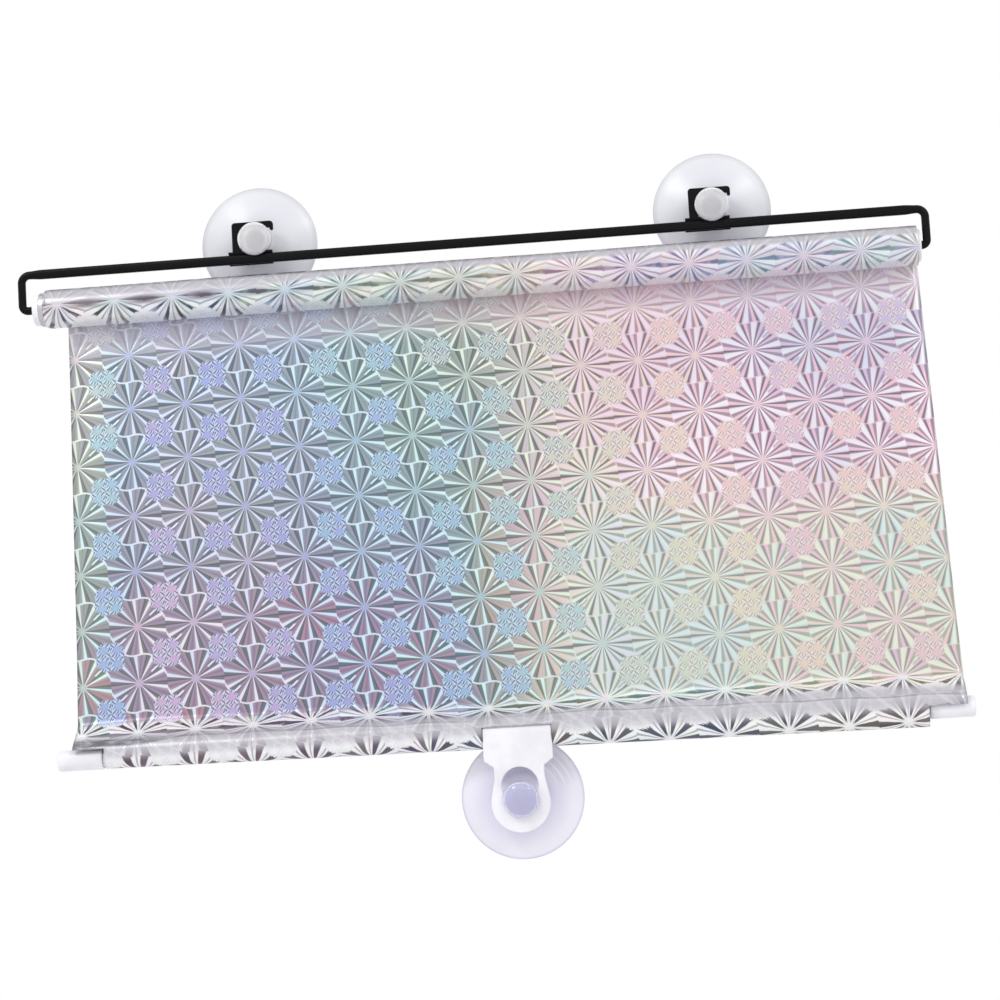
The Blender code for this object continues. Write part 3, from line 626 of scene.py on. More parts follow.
def turned(profile, along, centre, steps, closed=False):
    # profile holds (distance along, radius)
    bm = bmesh.new()
    along = Vector(along).normalized()
    side = along.orthogonal().normalized()
    other = along.cross(side)
    rings = []
    for reach, radius in profile:
        base = Vector(centre) + along * reach
        if radius < 1e-7:
            rings.append([bm.verts.new(base)])
            continue
        ring = []
        for k in range(steps):
            angle = math.tau * k / steps
            ring.append(bm.verts.new(base + (side * math.cos(angle) + other * math.sin(angle)) * radius))
        rings.append(ring)
    pairs = list(zip(rings, rings[1:]))
    if closed:
        pairs.append((rings[-1], rings[0]))
    for first, second in pairs:
        for k in range(steps):
            n = (k + 1) % steps
            if len(first) == 1 and len(second) == 1:
                continue
            if len(first) == 1:
                bm.faces.new((first[0], second[k], second[n]))
            elif len(second) == 1:
                bm.faces.new((first[k], first[n], second[0]))
            else:
                bm.faces.new((first[k], first[n], second[n], second[k]))
    return bm


def rounded(piece, width, segments=2):
    # eases the sharp edges
    bevel = piece.modifiers.new("edge", "BEVEL")
    bevel.width = width
    bevel.segments = segments
    bevel.limit_method = "ANGLE"
    bevel.angle_limit = math.radians(35)


# the film: one strip from the back of the roll, down, forward over the rail, round it and up its own back
film = {
    "width": 0.400,
    "slant": math.radians(1.15),
    "columns": 150,
    "rows": 84,
    "thickness": 0.00016,
    "wave": 0.00022,
    "sweepTop": 0.0190,
    "sweepBottom": 0.0024,
    "front": 0.00655,
    "back": 0.00445,
    "dropLeft": 0.0045,
    "dropRight": 0.0084,
    "tabLeft": 0.01445,
    "tabRight": 0.01695,
    "paintedSheenDepth": 0.9,
    "paintedSheenEnd": -0.0030,
    "cornerLeft": 0.0032,
    "cornerRight": -0.0004,
    "notchFront": 0.0012,
    "notchBack": 0.0085,
    "clipX": 0.01215,
    "clipHalf": 0.01553,
    "lapTop": 0.0170,
    "hemStart": 0.018,
    "wrapRows": 4,
    "wrapStart": 36,            # degrees above the roll's axis
    "wrapStep": 12,
    "sweepRows": 16,
    "foldRows": 18,
}
filmTop = rollAxis.z
filmLeftTop = sheetBox[0].x


def filmLeft(z):
    return filmLeftTop + (filmTop - z) * math.tan(film["slant"])


def smooth(share):
    share = min(1.0, max(0.0, share))
    return share * share * (3 - 2 * share)


def hemPale(z):
    # painted sheen: the hem is washed out pale, as a reflection of white, down to a little above the rail's
    # axis
    return film["paintedSheenDepth"] * smooth((z - film["paintedSheenEnd"]) / 0.0045)


def hemProfile(across):
    # (y, z, painted sheen, silver) from the sheet's lower end round the rail, for a share of the width
    drop = film["dropLeft"] + (film["dropRight"] - film["dropLeft"]) * across
    back = sheetY - railAxis.y
    wobble = 0.0011 * math.sin(9.0 * across + 0.7) + 0.0006 * math.sin(23.0 * across)
    top = film["sweepTop"] + wobble - 0.0014 * smooth(1 - across * 3)
    points = []
    for i in range(film["sweepRows"] + 1):
        share = i / film["sweepRows"]
        ripple = 0.00025 * math.sin(math.tau * share * 2.0 + 5 * across) * math.sin(math.pi * share)
        y = back + (-film["front"] - back) * smooth(share) + ripple
        z = top + (film["sweepBottom"] - top) * share
        paintedSheen = smooth((share - 0.44) / 0.24) * hemPale(z)
        points.append((y, z, paintedSheen, smooth((share - 0.08) / 0.18)))
    middle = (film["back"] - film["front"]) / 2
    half = (film["back"] + film["front"]) / 2
    for y, z in arc((middle, 0.0), (half, drop), 180, 360, film["foldRows"]):
        points.append((y, z, hemPale(z) if y < middle else 0.2, 1.0))
    lap = back + 0.00042
    points += [(lap, 0.0119, 0.2, 1.0), (lap, film["lapTop"], 0.2, 1.0)]
    return points


def filmColumns():
    # shares of the width, with the cut edges among them
    hemLeft = filmLeft(railAxis.z + film["hemStart"])
    edges = [film["tabLeft"] / film["width"], 1 - film["tabRight"] / film["width"]]
    for side in (-1, 1):
        edges.append((film["clipX"] + side * film["clipHalf"] - hemLeft) / film["width"])
    shares = [i / film["columns"] for i in range(film["columns"] + 1)]
    for edge in edges:
        nearest = min(range(len(shares)), key=lambda k: abs(shares[k] - edge))
        shares[nearest] = edge
    return shares, hemLeft, sorted(edges)


def makeFilmSheet():
    shares, hemLeft, edges = filmColumns()
    leftCut, clipLeft, clipRight, rightCut = edges
    bm = bmesh.new()
    shiftLayer = bm.verts.layers.float.new("planShift")
    silverLayer = bm.verts.layers.float.new("silver")
    paintedSheenLayer = bm.verts.layers.float.new("paintedSheen")
    columns = []
    for share in shares:
        hem = hemProfile(share)
        sheetEnd = railAxis.z + hem[0][1]
        column = []
        # wraps a little way over the roll, so that it leaves the roll without a gap
        for i in range(film["wrapRows"]):
            angle = math.radians(film["wrapStart"] - film["wrapStep"] * i)
            reach = rollRadius + 0.00012 + 0.0002 * i / film["wrapRows"]
            y = rollAxis.y + reach * math.cos(angle)
            z = rollAxis.z + reach * math.sin(angle)
            vert = bm.verts.new((filmLeft(filmTop) + film["width"] * share, y, z))
            vert[shiftLayer] = rollAxis.z + rollRadius * angle - z
            column.append(vert)
        for i in range(film["rows"] + 1):
            z = filmTop + (sheetEnd - filmTop) * i / film["rows"]
            x = filmLeft(z) + film["width"] * share
            down = i / film["rows"]
            calm = smooth(down * 5) * smooth((1 - down) * 6)
            wave = math.sin(x * 38 + z * 21) + 0.6 * math.sin(x * 17 - z * 47 + 1.3)
            edge = smooth((0.03 - share) / 0.03) + smooth((share - 0.97) / 0.03)
            y = sheetY + calm * (film["wave"] * wave + 0.0009 * edge)
            vert = bm.verts.new((x, y, z))
            vert[shiftLayer] = 0.0
            column.append(vert)
        x = hemLeft + film["width"] * share
        used = 0.0
        last = Vector((hem[0][0], hem[0][1]))
        for y, z, paintedSheen, silver in hem[1:]:
            point = Vector((y, z))
            used += (point - last).length
            last = point
            vert = bm.verts.new((x, railAxis.y + y, railAxis.z + z))
            vert[shiftLayer] = (sheetEnd - used) - (railAxis.z + z)
            vert[silverLayer] = silver
            vert[paintedSheenLayer] = paintedSheen
            column.append(vert)
        columns.append(column)
    firstHem = film["wrapRows"] + film["rows"]
    lowestRow = firstHem + film["sweepRows"] + film["foldRows"] // 2

    def cutAway(low, high, first, second, row):
        # a face is cut where its middle lies below the height of a cut
        if row < firstHem:
            return False
        middle = (low + high) / 2
        z = sum(v.co.z for v in (first, second)) / 2 - railAxis.z
        if middle < leftCut:
            return z < film["cornerLeft"]
        if middle > rightCut:
            return z < film["cornerRight"]
        if clipLeft < middle < clipRight:
            return z < film["notchBack" if row > lowestRow else "notchFront"]
        return False

    for k in range(len(columns) - 1):
        left, right = columns[k], columns[k + 1]
        for row in range(len(left) - 1):
            if not cutAway(shares[k], shares[k + 1], left[row], left[row + 1], row):
                bm.faces.new((left[row], right[row], right[row + 1], left[row + 1]))
    loose = [v for v in bm.verts if not v.link_faces]
    bmesh.ops.delete(bm, geom=loose, context="VERTS")
    sheet = addMesh("filmSheet", bm, filmMaterial, 60.0)
    solid = sheet.modifiers.new("film", "SOLIDIFY")
    solid.thickness = film["thickness"]
    solid.offset = 0.0
    return sheet


filmSheet = makeFilmSheet()
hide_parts("film_sheet", "film_hem")
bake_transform(filmSheet)
print("film sheet and hem made")

# the wound turns
roll = {
    "steps": 96, "columns": 130, "telescope": 0.0016, "turns": 4, "loose": 0.00007,
    "metallic": 0.35,
    "inner": 0.0083, "seam": math.radians(-20), "straighten": 0.0185, "topSheenStart": 0.0184, "topSheenEnd": 0.0300,
}


def makeFilmRoll():
    low, high = rollBox
    inner = roll["inner"]
    left, right = low.x, high.x
    stations = []
    for i in range(roll["turns"] + 1):
        share = i / roll["turns"]
        x = left + roll["telescope"] * share
        radius = inner + (rollRadius - 0.0003 - inner) * math.sqrt(1 - (1 - share) ** 2)
        stations += [(x, radius), (x, radius + 0.00012)]
    body = roll["columns"]
    for i in range(body + 1):
        x = left + roll["telescope"] * 1.1 + (right - left - roll["telescope"] * 1.1) * i / body
        stations.append((x, rollRadius - 0.00012))
    for i in range(roll["turns"] + 1):
        share = i / roll["turns"]
        x = right - roll["telescope"] * share
        radius = rollRadius - 0.0002 - (rollRadius - inner) * share
        stations.append((x, radius))
    bm = turned(stations, (1, 0, 0), (0, rollAxis.y, rollAxis.z), roll["steps"], True)
    plan = bm.loops.layers.uv.new("film")
    for vert in bm.verts:
        x = vert.co.x
        y, z = vert.co.y - rollAxis.y, vert.co.z - rollAxis.z
        radius = math.hypot(y, z)
        angle = math.atan2(z, y)
        swell = roll["loose"] * (math.sin(x * 61 + angle) + math.sin(x * 23 + 2 * angle))
        if radius > 0.009:
            scale = (radius + swell) / radius
            vert.co.y = rollAxis.y + y * scale
            vert.co.z = rollAxis.z + z * scale
    for face in bm.faces:
        angles = [math.atan2(loop.vert.co.z - rollAxis.z, loop.vert.co.y - rollAxis.y) for loop in face.loops]
        # the seam lies low at the back, where the sheet hides it
        angles = [a if a > roll["seam"] else a + math.tau for a in angles]
        if max(angles) - min(angles) > math.pi:
            angles = [a + math.tau if a < math.pi / 2 else a for a in angles]
        for loop, angle in zip(face.loops, angles):
            loop[plan].uv = (loop.vert.co.x / 0.5 + 0.5, rollRadius * angle / 0.5 + 0.5)
    return addMesh("filmRoll", bm, rollMaterial, 50.0)


def makeRollMaterial():
    # the outer turn: mirror bright, with a painted sheen that washes out its print above the middle of its
    # front
    material, tree, shader = newMaterial("rolledFilm", Metallic=roll["metallic"],
                                         Specular_IOR_Level=filmFinish["specular"])
    plan = tree.nodes.new("ShaderNodeUVMap")
    plan.uv_map = "film"
    u, v, _ = separate(Value(plan.outputs[0]))
    # metres along the roll, and of film round it
    x = (u - 0.5) * 0.5
    wound = (v - 0.5) * 0.5
    # wound tight, the rows run along the roll and stretch a little towards its left end
    fall = (x - filmPrint["firstStar"][0]) * roll["straighten"] + soften(x, 0.02, 0.14, 0.0, -0.0013)
    pulled = soften(x, -0.115, -0.21, 0.0, 0.0029) + soften(x, -0.115, 0.0, 0.0, -0.0017)
    place = combine(x + pulled, 0.0, wound + rollAxis.z + fall)
    cell = useGroup(tree, lattice, Place=place)
    nearStar = soften(cell["Radius"], 0.4, 0.1)
    middle = soften(x, -0.13, -0.06)
    # the roll's print is mostly painted dark and white reflections, less so near star centres
    silver = middle * -0.16 + (0.96 - nearStar * 0.45)
    ending = middle * 0.0036 + wound
    # painted sheen: washed out above the middle of the roll's front, and faintly low on its front
    topSheen = soften(wound, roll["topSheenStart"] - 0.0004, roll["topSheenStart"] + 0.0008)
    topSheen = topSheen * soften(ending, roll["topSheenEnd"] + 0.001, roll["topSheenEnd"] - 0.0012, 0.0, 0.92)
    lowSheen = soften(wound, 0.0375, 0.042, 0.0, 0.12)
    found = useGroup(tree, starFoil, Place=place, Silver=silver, Pale=maths("MAXIMUM", topSheen, lowSheen))
    # painted shade: a darker band along the roll's front, darkest midway between stars
    between = soften(abs(cell["Across"]), 0.05, 0.46, 0.0, 0.8)
    shadeBand = soften(wound, 0.0262, 0.0306) * soften(wound, 0.034, 0.0316)
    shadeBand = shadeBand * between * soften(middle, 0.0, 1.0, 1.0, 0.35)
    colour = blendColour(shadeBand, found["Color"], srgb(104, 92, 108))
    # a thin dark line along the top, in dashes
    dashes = soften(noise(combine(x, 0.0, 0.0), 170.0), 0.4, 0.56, 0.45, 1.0)
    edge = soften(wound, 0.0216, 0.0204) * soften(wound, 0.015, 0.0162, 0.0, 0.9)
    colour = blendColour(edge * dashes, colour, srgb(48, 42, 52))
    plug(colour, shader.inputs["Base Color"])
    plug(found["Roughness"], shader.inputs["Roughness"])
    return material


rollMaterial = makeRollMaterial()
filmRoll = makeFilmRoll()
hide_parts("film_roll")
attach(filmRoll, "roller")
print("film roll made")

# finishes of the hard pieces
grainDepth = 0.0002
knobBump = 0.01
finishes = {
    "black": {"colour": srgb(12, 12, 15), "roughness": 0.34, "grain": 900.0},
    "white": {"colour": srgb(250, 249, 254), "roughness": 0.36, "grain": 700.0},
    "knob": {"colour": srgb(242, 242, 244), "roughness": 0.34, "grain": 300.0},
    "lilacKnob": {"colour": srgb(206, 204, 235), "roughness": 0.07, "grain": 300.0},
    "steel": {"colour": srgb(178, 178, 182), "roughness": 0.30, "grain": 900.0},
    "zinc": {"colour": srgb(200, 201, 206), "roughness": 0.36, "grain": 300.0},
}


def makeSurfaceVariation():
    # faint unevenness that every moulded or painted surface has
    group, given, out = newGroup(
        "surfaceVariation",
        [("Scale", "Float", 100.0), ("Base", "Color", (0.8, 0.8, 0.8, 1.0)),
         ("Amount", "Float", 0.05), ("Roughness", "Float", 0.3)],
        [("Color", "Color"), ("Roughness", "Float"), ("Height", "Float")],
    )
    place = objectPlace(group)
    coarse = noise(place, given["Scale"] * 0.12, 3.0)
    fine = noise(place, given["Scale"])
    darker = blendColour(1.0, given["Base"], srgb(228, 228, 231), "MULTIPLY")
    amount = soften(coarse, 0.35, 0.7) * given["Amount"]
    plug(blendColour(amount, given["Base"], darker), out["Color"])
    plug((coarse - 0.5) * 0.16 + given["Roughness"], out["Roughness"])
    plug(coarse * 1.5 + fine, out["Height"])
    return group


surfaceVariation = makeSurfaceVariation()


def makeFinish(name, finish, metallic=0.0, bumpStrength=0.04, **more):
    material, tree, shader = newMaterial(name, Metallic=metallic, **more)
    found = useGroup(tree, surfaceVariation, Scale=finish["grain"], Base=finish["colour"],
                     Amount=0.5, Roughness=finish["roughness"])
    plug(found["Color"], shader.inputs["Base Color"])
    plug(found["Roughness"], shader.inputs["Roughness"])
    addBump(shader, found["Height"], bumpStrength, grainDepth)
    return material


blackEnamel = makeFinish("blackEnamel", finishes["black"], Specular_IOR_Level=0.12)
whitePlastic = makeFinish("whitePlastic", finishes["white"])
knobVinyl = makeFinish("knobVinyl", finishes["knob"], bumpStrength=knobBump,
                       Transmission_Weight=0.40, IOR=1.28)
lilacKnob = makeFinish("lilacKnob", finishes["lilacKnob"], bumpStrength=knobBump,
                       Transmission_Weight=0.25, IOR=1.45)

# moulded vinyl: its colour goes by how thick it is, from the middle of a cup to its lip
vinyls = {
    "clearVinyl": {
        "rings": [(0.0, srgb(222, 223, 230)), (0.34, srgb(229, 230, 236)), (0.60, srgb(235, 236, 242)),
                  (0.90, srgb(234, 235, 240)), (0.965, srgb(222, 223, 228)), (1.0, srgb(232, 233, 236))],
        "highlightStreaks": 0.0, "roughness": 0.28, "grain": 240.0, "relief": 0.02,
    },
    "lilacVinyl": {
        # the lilac cup's middle, seen through the clip's keyhole, is lightened as painted light against the
        # shade there
        "rings": [(0.0, srgb(246, 243, 252)), (0.34, srgb(236, 234, 247)), (0.42, srgb(214, 213, 233)),
                  (0.56, srgb(232, 230, 246)), (0.84, srgb(247, 245, 255)), (0.95, srgb(248, 246, 255)),
                  (1.0, srgb(229, 226, 245))],
        "highlightStreaks": 0.85, "roughness": 0.22, "grain": 240.0, "relief": 0.02,
    },
}


def makeVinyl(name, vinyl):
    material, tree, shader = newMaterial(name, Specular_IOR_Level=0.40)
    ring = attributeValue(tree, "ring")
    colour = colourRamp(ring, vinyl["rings"])
    # painted reflections, strongest at the upper right: a slightly darker tone crossed by bright painted
    # highlight streaks
    side = attributeValue(tree, "sideways") * 0.8 + attributeValue(tree, "upward") * 0.6
    litSide = soften(side, 0.9, 0.985)
    bands = maths("SINE", ring * 58.0 + side * 4.0)
    within = soften(ring, 0.55, 0.66) * soften(ring, 0.93, 0.88)
    highlightStreak = soften(bands, 0.55, 0.95) * litSide * within * vinyl["highlightStreaks"]
    colour = blendColour(litSide * (within * (vinyl["highlightStreaks"] * 0.35)), colour, srgb(206, 205, 226))
    colour = blendColour(highlightStreak, colour, srgb(252, 252, 255))
    found = useGroup(tree, surfaceVariation, Scale=vinyl["grain"], Base=colour,
                     Amount=0.35, Roughness=vinyl["roughness"])
    plug(found["Color"], shader.inputs["Base Color"])
    plug(found["Roughness"], shader.inputs["Roughness"])
    addBump(shader, found["Height"], vinyl["relief"], grainDepth)
    return material


clearVinyl = makeVinyl("clearVinyl", vinyls["clearVinyl"])
lilacVinyl = makeVinyl("lilacVinyl", vinyls["lilacVinyl"])
steelWire = makeFinish("steelWire", finishes["steel"], metallic=0.9)
zincTube = makeFinish("zincTube", finishes["zinc"], metallic=0.9)

# pieces that stay as the CAD has them take a finish alone
for nodeName, material in (("roller_tube", zincTube), ("spring_anchor", whitePlastic),
                           ("torsion_spring", steelWire), ("bottom_rail", whitePlastic),
                           ("spring_arbor", steelWire)):
    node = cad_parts[nodeName]
    node.data.materials.clear()
    node.data.materials.append(material)


# solids that stand for CAD nodes, with finer rounds and eased edges
def extruded(outline, plane, low, high):
    # outline in XZ or YZ, carried along the third axis
    bm = bmesh.new()
    if plane == "XZ":
        verts = [bm.verts.new((a, low, b)) for a, b in outline]
        step = Vector((0.0, high - low, 0.0))
    else:
        verts = [bm.verts.new((low, a, b)) for a, b in outline]
        step = Vector((high - low, 0.0, 0.0))
    face = bm.faces.new(verts)
    grown = bmesh.ops.extrude_face_region(bm, geom=[face])
    moved = [v for v in grown["geom"] if isinstance(v, bmesh.types.BMVert)]
    bmesh.ops.translate(bm, verts=moved, vec=step)
    return bm


def carve(piece, bm, operation):
    # cuts, keeps or joins a second solid, and leaves a plain mesh
    other = addMesh("helper", bm, whitePlastic)
    boolean = piece.modifiers.new("solid", "BOOLEAN")
    boolean.object = other
    boolean.operation = operation
    boolean.solver = "EXACT"
    settle(piece)
    bpy.data.objects.remove(other)


def settle(piece):
    bpy.context.view_layer.update()
    graph = bpy.context.evaluated_depsgraph_get()
    mesh = bpy.data.meshes.new_from_object(piece.evaluated_get(graph))
    piece.modifiers.clear()
    piece.data = mesh


def moveBy(piece, matrix):
    piece.data.transform(matrix)
    piece.data.update()


wire = {
    "length": 0.424, "diameter": 0.0038, "barHeight": 0.0045, "barDepth": 0.0031,
    "corner": 0.0038, "tailBend": 0.0026, "leftTail": 0.018, "rightTail": 0.016,
    "pressedLength": 0.008, "pressedHeight": 0.0050, "pressedDepth": 0.0032,
    "pressTransition": 0.0020, "barTransition": 0.0060,
    "barZ": -0.0091, "axisZ": -0.0261, "fromGlass": 0.0145, "sides": 28,
    "tipLength": 0.0004, "pressedTip": 0.86, "plainTip": 0.80, "bendSteps": 14, "barSteps": 24,
}


def makeWire():
    half = wire["length"] / 2
    plain = (wire["diameter"] / 2, wire["diameter"] / 2)
    flat = (wire["barHeight"] / 2, wire["barDepth"] / 2)
    pressed = (wire["pressedHeight"] / 2, wire["pressedDepth"] / 2)
    barZ, axisZ = wire["barZ"], wire["axisZ"]
    tailStart = half - wire["rightTail"]
    pressedEnd = tailStart + wire["pressedLength"]
    tip, steps = wire["tipLength"], wire["bendSteps"]
    points = [((tailStart, axisZ), [part * wire["pressedTip"] for part in pressed])]
    points += [((tailStart + tip, axisZ), pressed), ((pressedEnd, axisZ), pressed)]
    points += [((pressedEnd + wire["pressTransition"], axisZ), plain)]
    bend, corner = wire["tailBend"], wire["corner"]
    points += [(p, plain) for p in arc((half - bend, axisZ + bend), bend, -90, 0, steps)]
    points += [(p, plain) for p in arc((half - corner, barZ - corner), corner, 0, 90, steps)]
    start = half - corner
    # the wire goes from round to flat beside each corner
    narrowing = []
    for share in (0.2, 0.5, 0.8, 1.0):
        size = [plain[k] + (flat[k] - plain[k]) * smooth(share) for k in (0, 1)]
        narrowing.append((start - wire["barTransition"] * share, size))
    points += [((x, barZ), size) for x, size in narrowing]
    span = start - wire["barTransition"]
    bars = wire["barSteps"]
    points += [((span - 2 * span * i / bars, barZ), flat) for i in range(1, bars)]
    points += [((-x, barZ), size) for x, size in reversed(narrowing)]
    points += [(p, plain) for p in arc((-half + corner, barZ - corner), corner, 90, 180, steps)]
    points += [(p, plain) for p in arc((-half + bend, axisZ + bend), bend, 180, 270, steps)]
    end = wire["leftTail"] - half
    points += [((end - tip, axisZ), plain), ((end, axisZ), [part * wire["plainTip"] for part in plain])]
    bm = bmesh.new()
    rings = []
    for i, ((x, z), (high, deep)) in enumerate(points):
        before, after = points[max(i - 1, 0)][0], points[min(i + 1, len(points) - 1)][0]
        tangent = Vector((after[0] - before[0], 0, after[1] - before[1])).normalized()
        across = tangent.cross(Vector((0, 1, 0))).normalized()
        # a flattened wire keeps round shoulders and nearly flat faces
        power = 2.0 / (2.0 + 0.9 * smooth((high / deep - 1.0) / 0.4))
        ring = []
        for k in range(wire["sides"]):
            turn = math.tau * k / wire["sides"]
            c, s = math.cos(turn), math.sin(turn)
            c = math.copysign(abs(c) ** power, c)
            s = math.copysign(abs(s) ** power, s)
            ring.append(bm.verts.new(Vector((x, 0, z)) + across * high * c + Vector((0, deep * s, 0))))
        rings.append(ring)
    for first, second in zip(rings, rings[1:]):
        for k in range(wire["sides"]):
            n = (k + 1) % wire["sides"]
            bm.faces.new((first[k], first[n], second[n], second[k]))
    bm.faces.new(rings[0])
    bm.faces.new(rings[-1])
    piece = addMesh("wireFrame", bm, blackEnamel, 50.0)
    moveBy(piece, leanMatrix @ Matrix.Translation((0, -wire["fromGlass"], 0)))
    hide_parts("wire_bracket")
    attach(piece, "bracket")


makeWire()

cupClip = {
    "sheet": 0.0016, "slotHalf": 0.0053, "fingerHeight": 0.0031, "fingerReach": 0.0089,
    "hookDrop": 0.0014, "hookWidth": 0.0016, "uprightWidth": 0.0043, "uprightOffset": 0.0064,
    "footLeft": 0.0128, "footRight": 0.0080, "curlWall": 0.0012, "curlGap": 0.0003,
    "curlStart": 104, "curlEnd": -42, "places": (("left", -0.0999), ("right", 0.1146)),
}


def makeCupClip(side, x):
    low = cupClip["slotHalf"]
    high = low + cupClip["fingerHeight"]
    left = -cupClip["uprightOffset"] - cupClip["uprightWidth"]
    right = -cupClip["uprightOffset"]
    inner = (wire["barDepth"] / 2 + cupClip["curlGap"], wire["barHeight"] / 2 + cupClip["curlGap"])
    outer = (inner[0] + cupClip["curlWall"], inner[1] + cupClip["curlWall"])
    foot = wire["barZ"] + (inner[1] + outer[1]) / 2
    corner = cupClip["fingerHeight"] / 2
    reach, hook, drop = cupClip["fingerReach"], cupClip["hookWidth"], cupClip["hookDrop"]
    outline = [(left, foot), (right, foot)]
    outline += arc((right + corner, low - corner), corner, 180, 90, 8)
    outline += [(reach - hook, low)]
    outline += arc((reach - hook / 2, low - drop + hook / 2), hook / 2, 180, 360, 8)
    outline += arc((reach - corner, high - corner), corner, 0, 90, 8)
    outline += arc((left + corner, high - corner), corner, 90, 180, 8)
    half = cupClip["sheet"] / 2
    piece = addMesh("cupClip" + side.capitalize(), extruded(outline, "XZ", -half, half), blackEnamel, 40.0)
    centre = (0.0, wire["barZ"])
    start, end = cupClip["curlStart"], cupClip["curlEnd"]
    section = arc(centre, outer, start, end, 24) + arc(centre, inner, end, start, 24)
    carve(piece, extruded(section, "YZ", -cupClip["footLeft"], cupClip["footRight"]), "UNION")
    rounded(piece, 0.00022)
    moveBy(piece, leanMatrix @ Matrix.Translation((x, -wire["fromGlass"], 0)))
    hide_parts("cup_clip_" + side)
    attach(piece, "bracket")


for side, x in cupClip["places"]:
    makeCupClip(side, x)
print("wire and cup clips made")

cup = {
    "radius": 0.02765, "lipWidth": 0.0058, "lipEdge": 0.0009, "domeHeight": 0.0098, "wall": 0.0042,
    "neck": 0.005, "shoulder": 0.0083, "head": 0.0079, "headHeight": 0.0046, "neckLength": 0.0058,
    "hollowCurve": 1.7, "domeCurve": 0.9, "domeShare": 0.84, "rimShare": 0.25, "fillet": 0.0006,
    "markPlace": 0.86, "markRadius": 0.0011, "markDepth": 0.0003, "steps": 96,
    "bottomPlace": (0, 0.0092, -0.0289),
}


def cupProfile():
    # (distance from the glass, radius), from the hollow's middle over the lip to the end of the head
    lipInner = cup["radius"] - cup["lipWidth"]
    profile = []
    for i in range(13):
        r = lipInner * i / 12
        profile.append(((cup["domeHeight"] - cup["wall"]) * (1 - (r / lipInner) ** cup["hollowCurve"]), r))
    profile += [(0.00002, cup["radius"] - 0.0009), (0.00018, cup["radius"] - 0.00012)]
    profile += arc((0.00055, cup["radius"] - 0.00035), 0.00035, 20, 90, 4)
    for i in range(1, 14):
        share = i / 15
        r = cup["radius"] + (cup["shoulder"] - cup["radius"]) * share
        rise = cup["domeHeight"] * cup["domeShare"] - cup["lipEdge"]
        dip = 0.00022 * math.sin(math.pi * min(1.0, share * 5)) if share < 0.2 else 0.0
        profile.append((cup["lipEdge"] + rise * share ** cup["domeCurve"] - dip, r))
    rounding = cup["domeHeight"] * (1 - cup["domeShare"])
    profile += [(cup["domeHeight"] - rounding + a, cup["shoulder"] - rounding + b)
                for a, b in arc((0, 0), rounding, 90, 0, 6)]
    fillet = cup["fillet"]
    profile += [(cup["domeHeight"] + fillet * (1 - math.cos(math.radians(a))) - fillet * 0.02,
                 cup["neck"] + fillet * (1 - math.sin(math.radians(a)))) for a in (0, 30, 60, 90)]
    neckEnd = cup["domeHeight"] + cup["neckLength"]
    profile.append((neckEnd, cup["neck"]))
    head = cup["head"]
    rim = cup["headHeight"] * cup["rimShare"]
    profile += arc((neckEnd + rim, head - rim), rim, 180, 90, 6)
    profile += arc((neckEnd + rim, 0.0), (cup["headHeight"] - rim, head), 84, 6, 12)
    profile.append((neckEnd + cup["headHeight"], 0.0))
    return profile


def makeCup(side, matrix, body, vinyl, knob):
    bm = turned(cupProfile(), (0, -1, 0), (0, 0, 0), cup["steps"])
    limit = cup["domeHeight"] + cup["neckLength"] * 0.75
    layers = [bm.verts.layers.float.new(name) for name in ("ring", "sideways", "upward")]
    for vert in bm.verts:
        reach = max(1e-6, math.hypot(vert.co.x, vert.co.z))
        values = (reach / cup["radius"], vert.co.x / reach, vert.co.z / reach)
        for layer, value in zip(layers, values):
            vert[layer] = value
    # a mould mark near the lip
    for vert in bm.verts:
        away = math.hypot(vert.co.x, vert.co.z + cup["radius"] * cup["markPlace"])
        if away < cup["markRadius"] and vert.co.y < -0.0005:
            vert.co.y -= cup["markDepth"] * (1 - away / cup["markRadius"])
    piece = addMesh("suctionCup" + side.capitalize(), bm, vinyl, 42.0)
    piece.data.materials.append(knob)
    for face in piece.data.polygons:
        if -face.center.y > limit:
            face.material_index = 1
    moveBy(piece, matrix)
    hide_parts("suction_cup_" + side)
    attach(piece, body)


railFrame = Matrix.Translation((film["clipX"], railAxis.y, railAxis.z)) @ Matrix.Rotation(clipLean, 4, "X")
for side, x in cupClip["places"]:
    makeCup(side, leanMatrix @ Matrix.Translation((x, 0, 0)), "cup_" + side, clearVinyl, knobVinyl)
makeCup("bottom", railFrame @ Matrix.Translation(cup["bottomPlace"]), "cup_bottom", lilacVinyl, lilacKnob)
print("suction cups made")

railClip = {
    "bore": 0.0041, "outer": 0.0061, "plate": 0.0022, "ringEnd": -40, "width": 0.0309,
    "shoulder": 0.0121, "waist": 0.0224, "waistFall": 0.0030, "waistStraight": 0.0040,
    "fillet": 0.0016, "endRadius": 0.0132, "length": 0.0437, "cupBelow": 0.0289,
    "entryAbove": 0.0062, "neckHole": 0.0053, "entryHole": 0.0082, "ease": 0.00045,
}


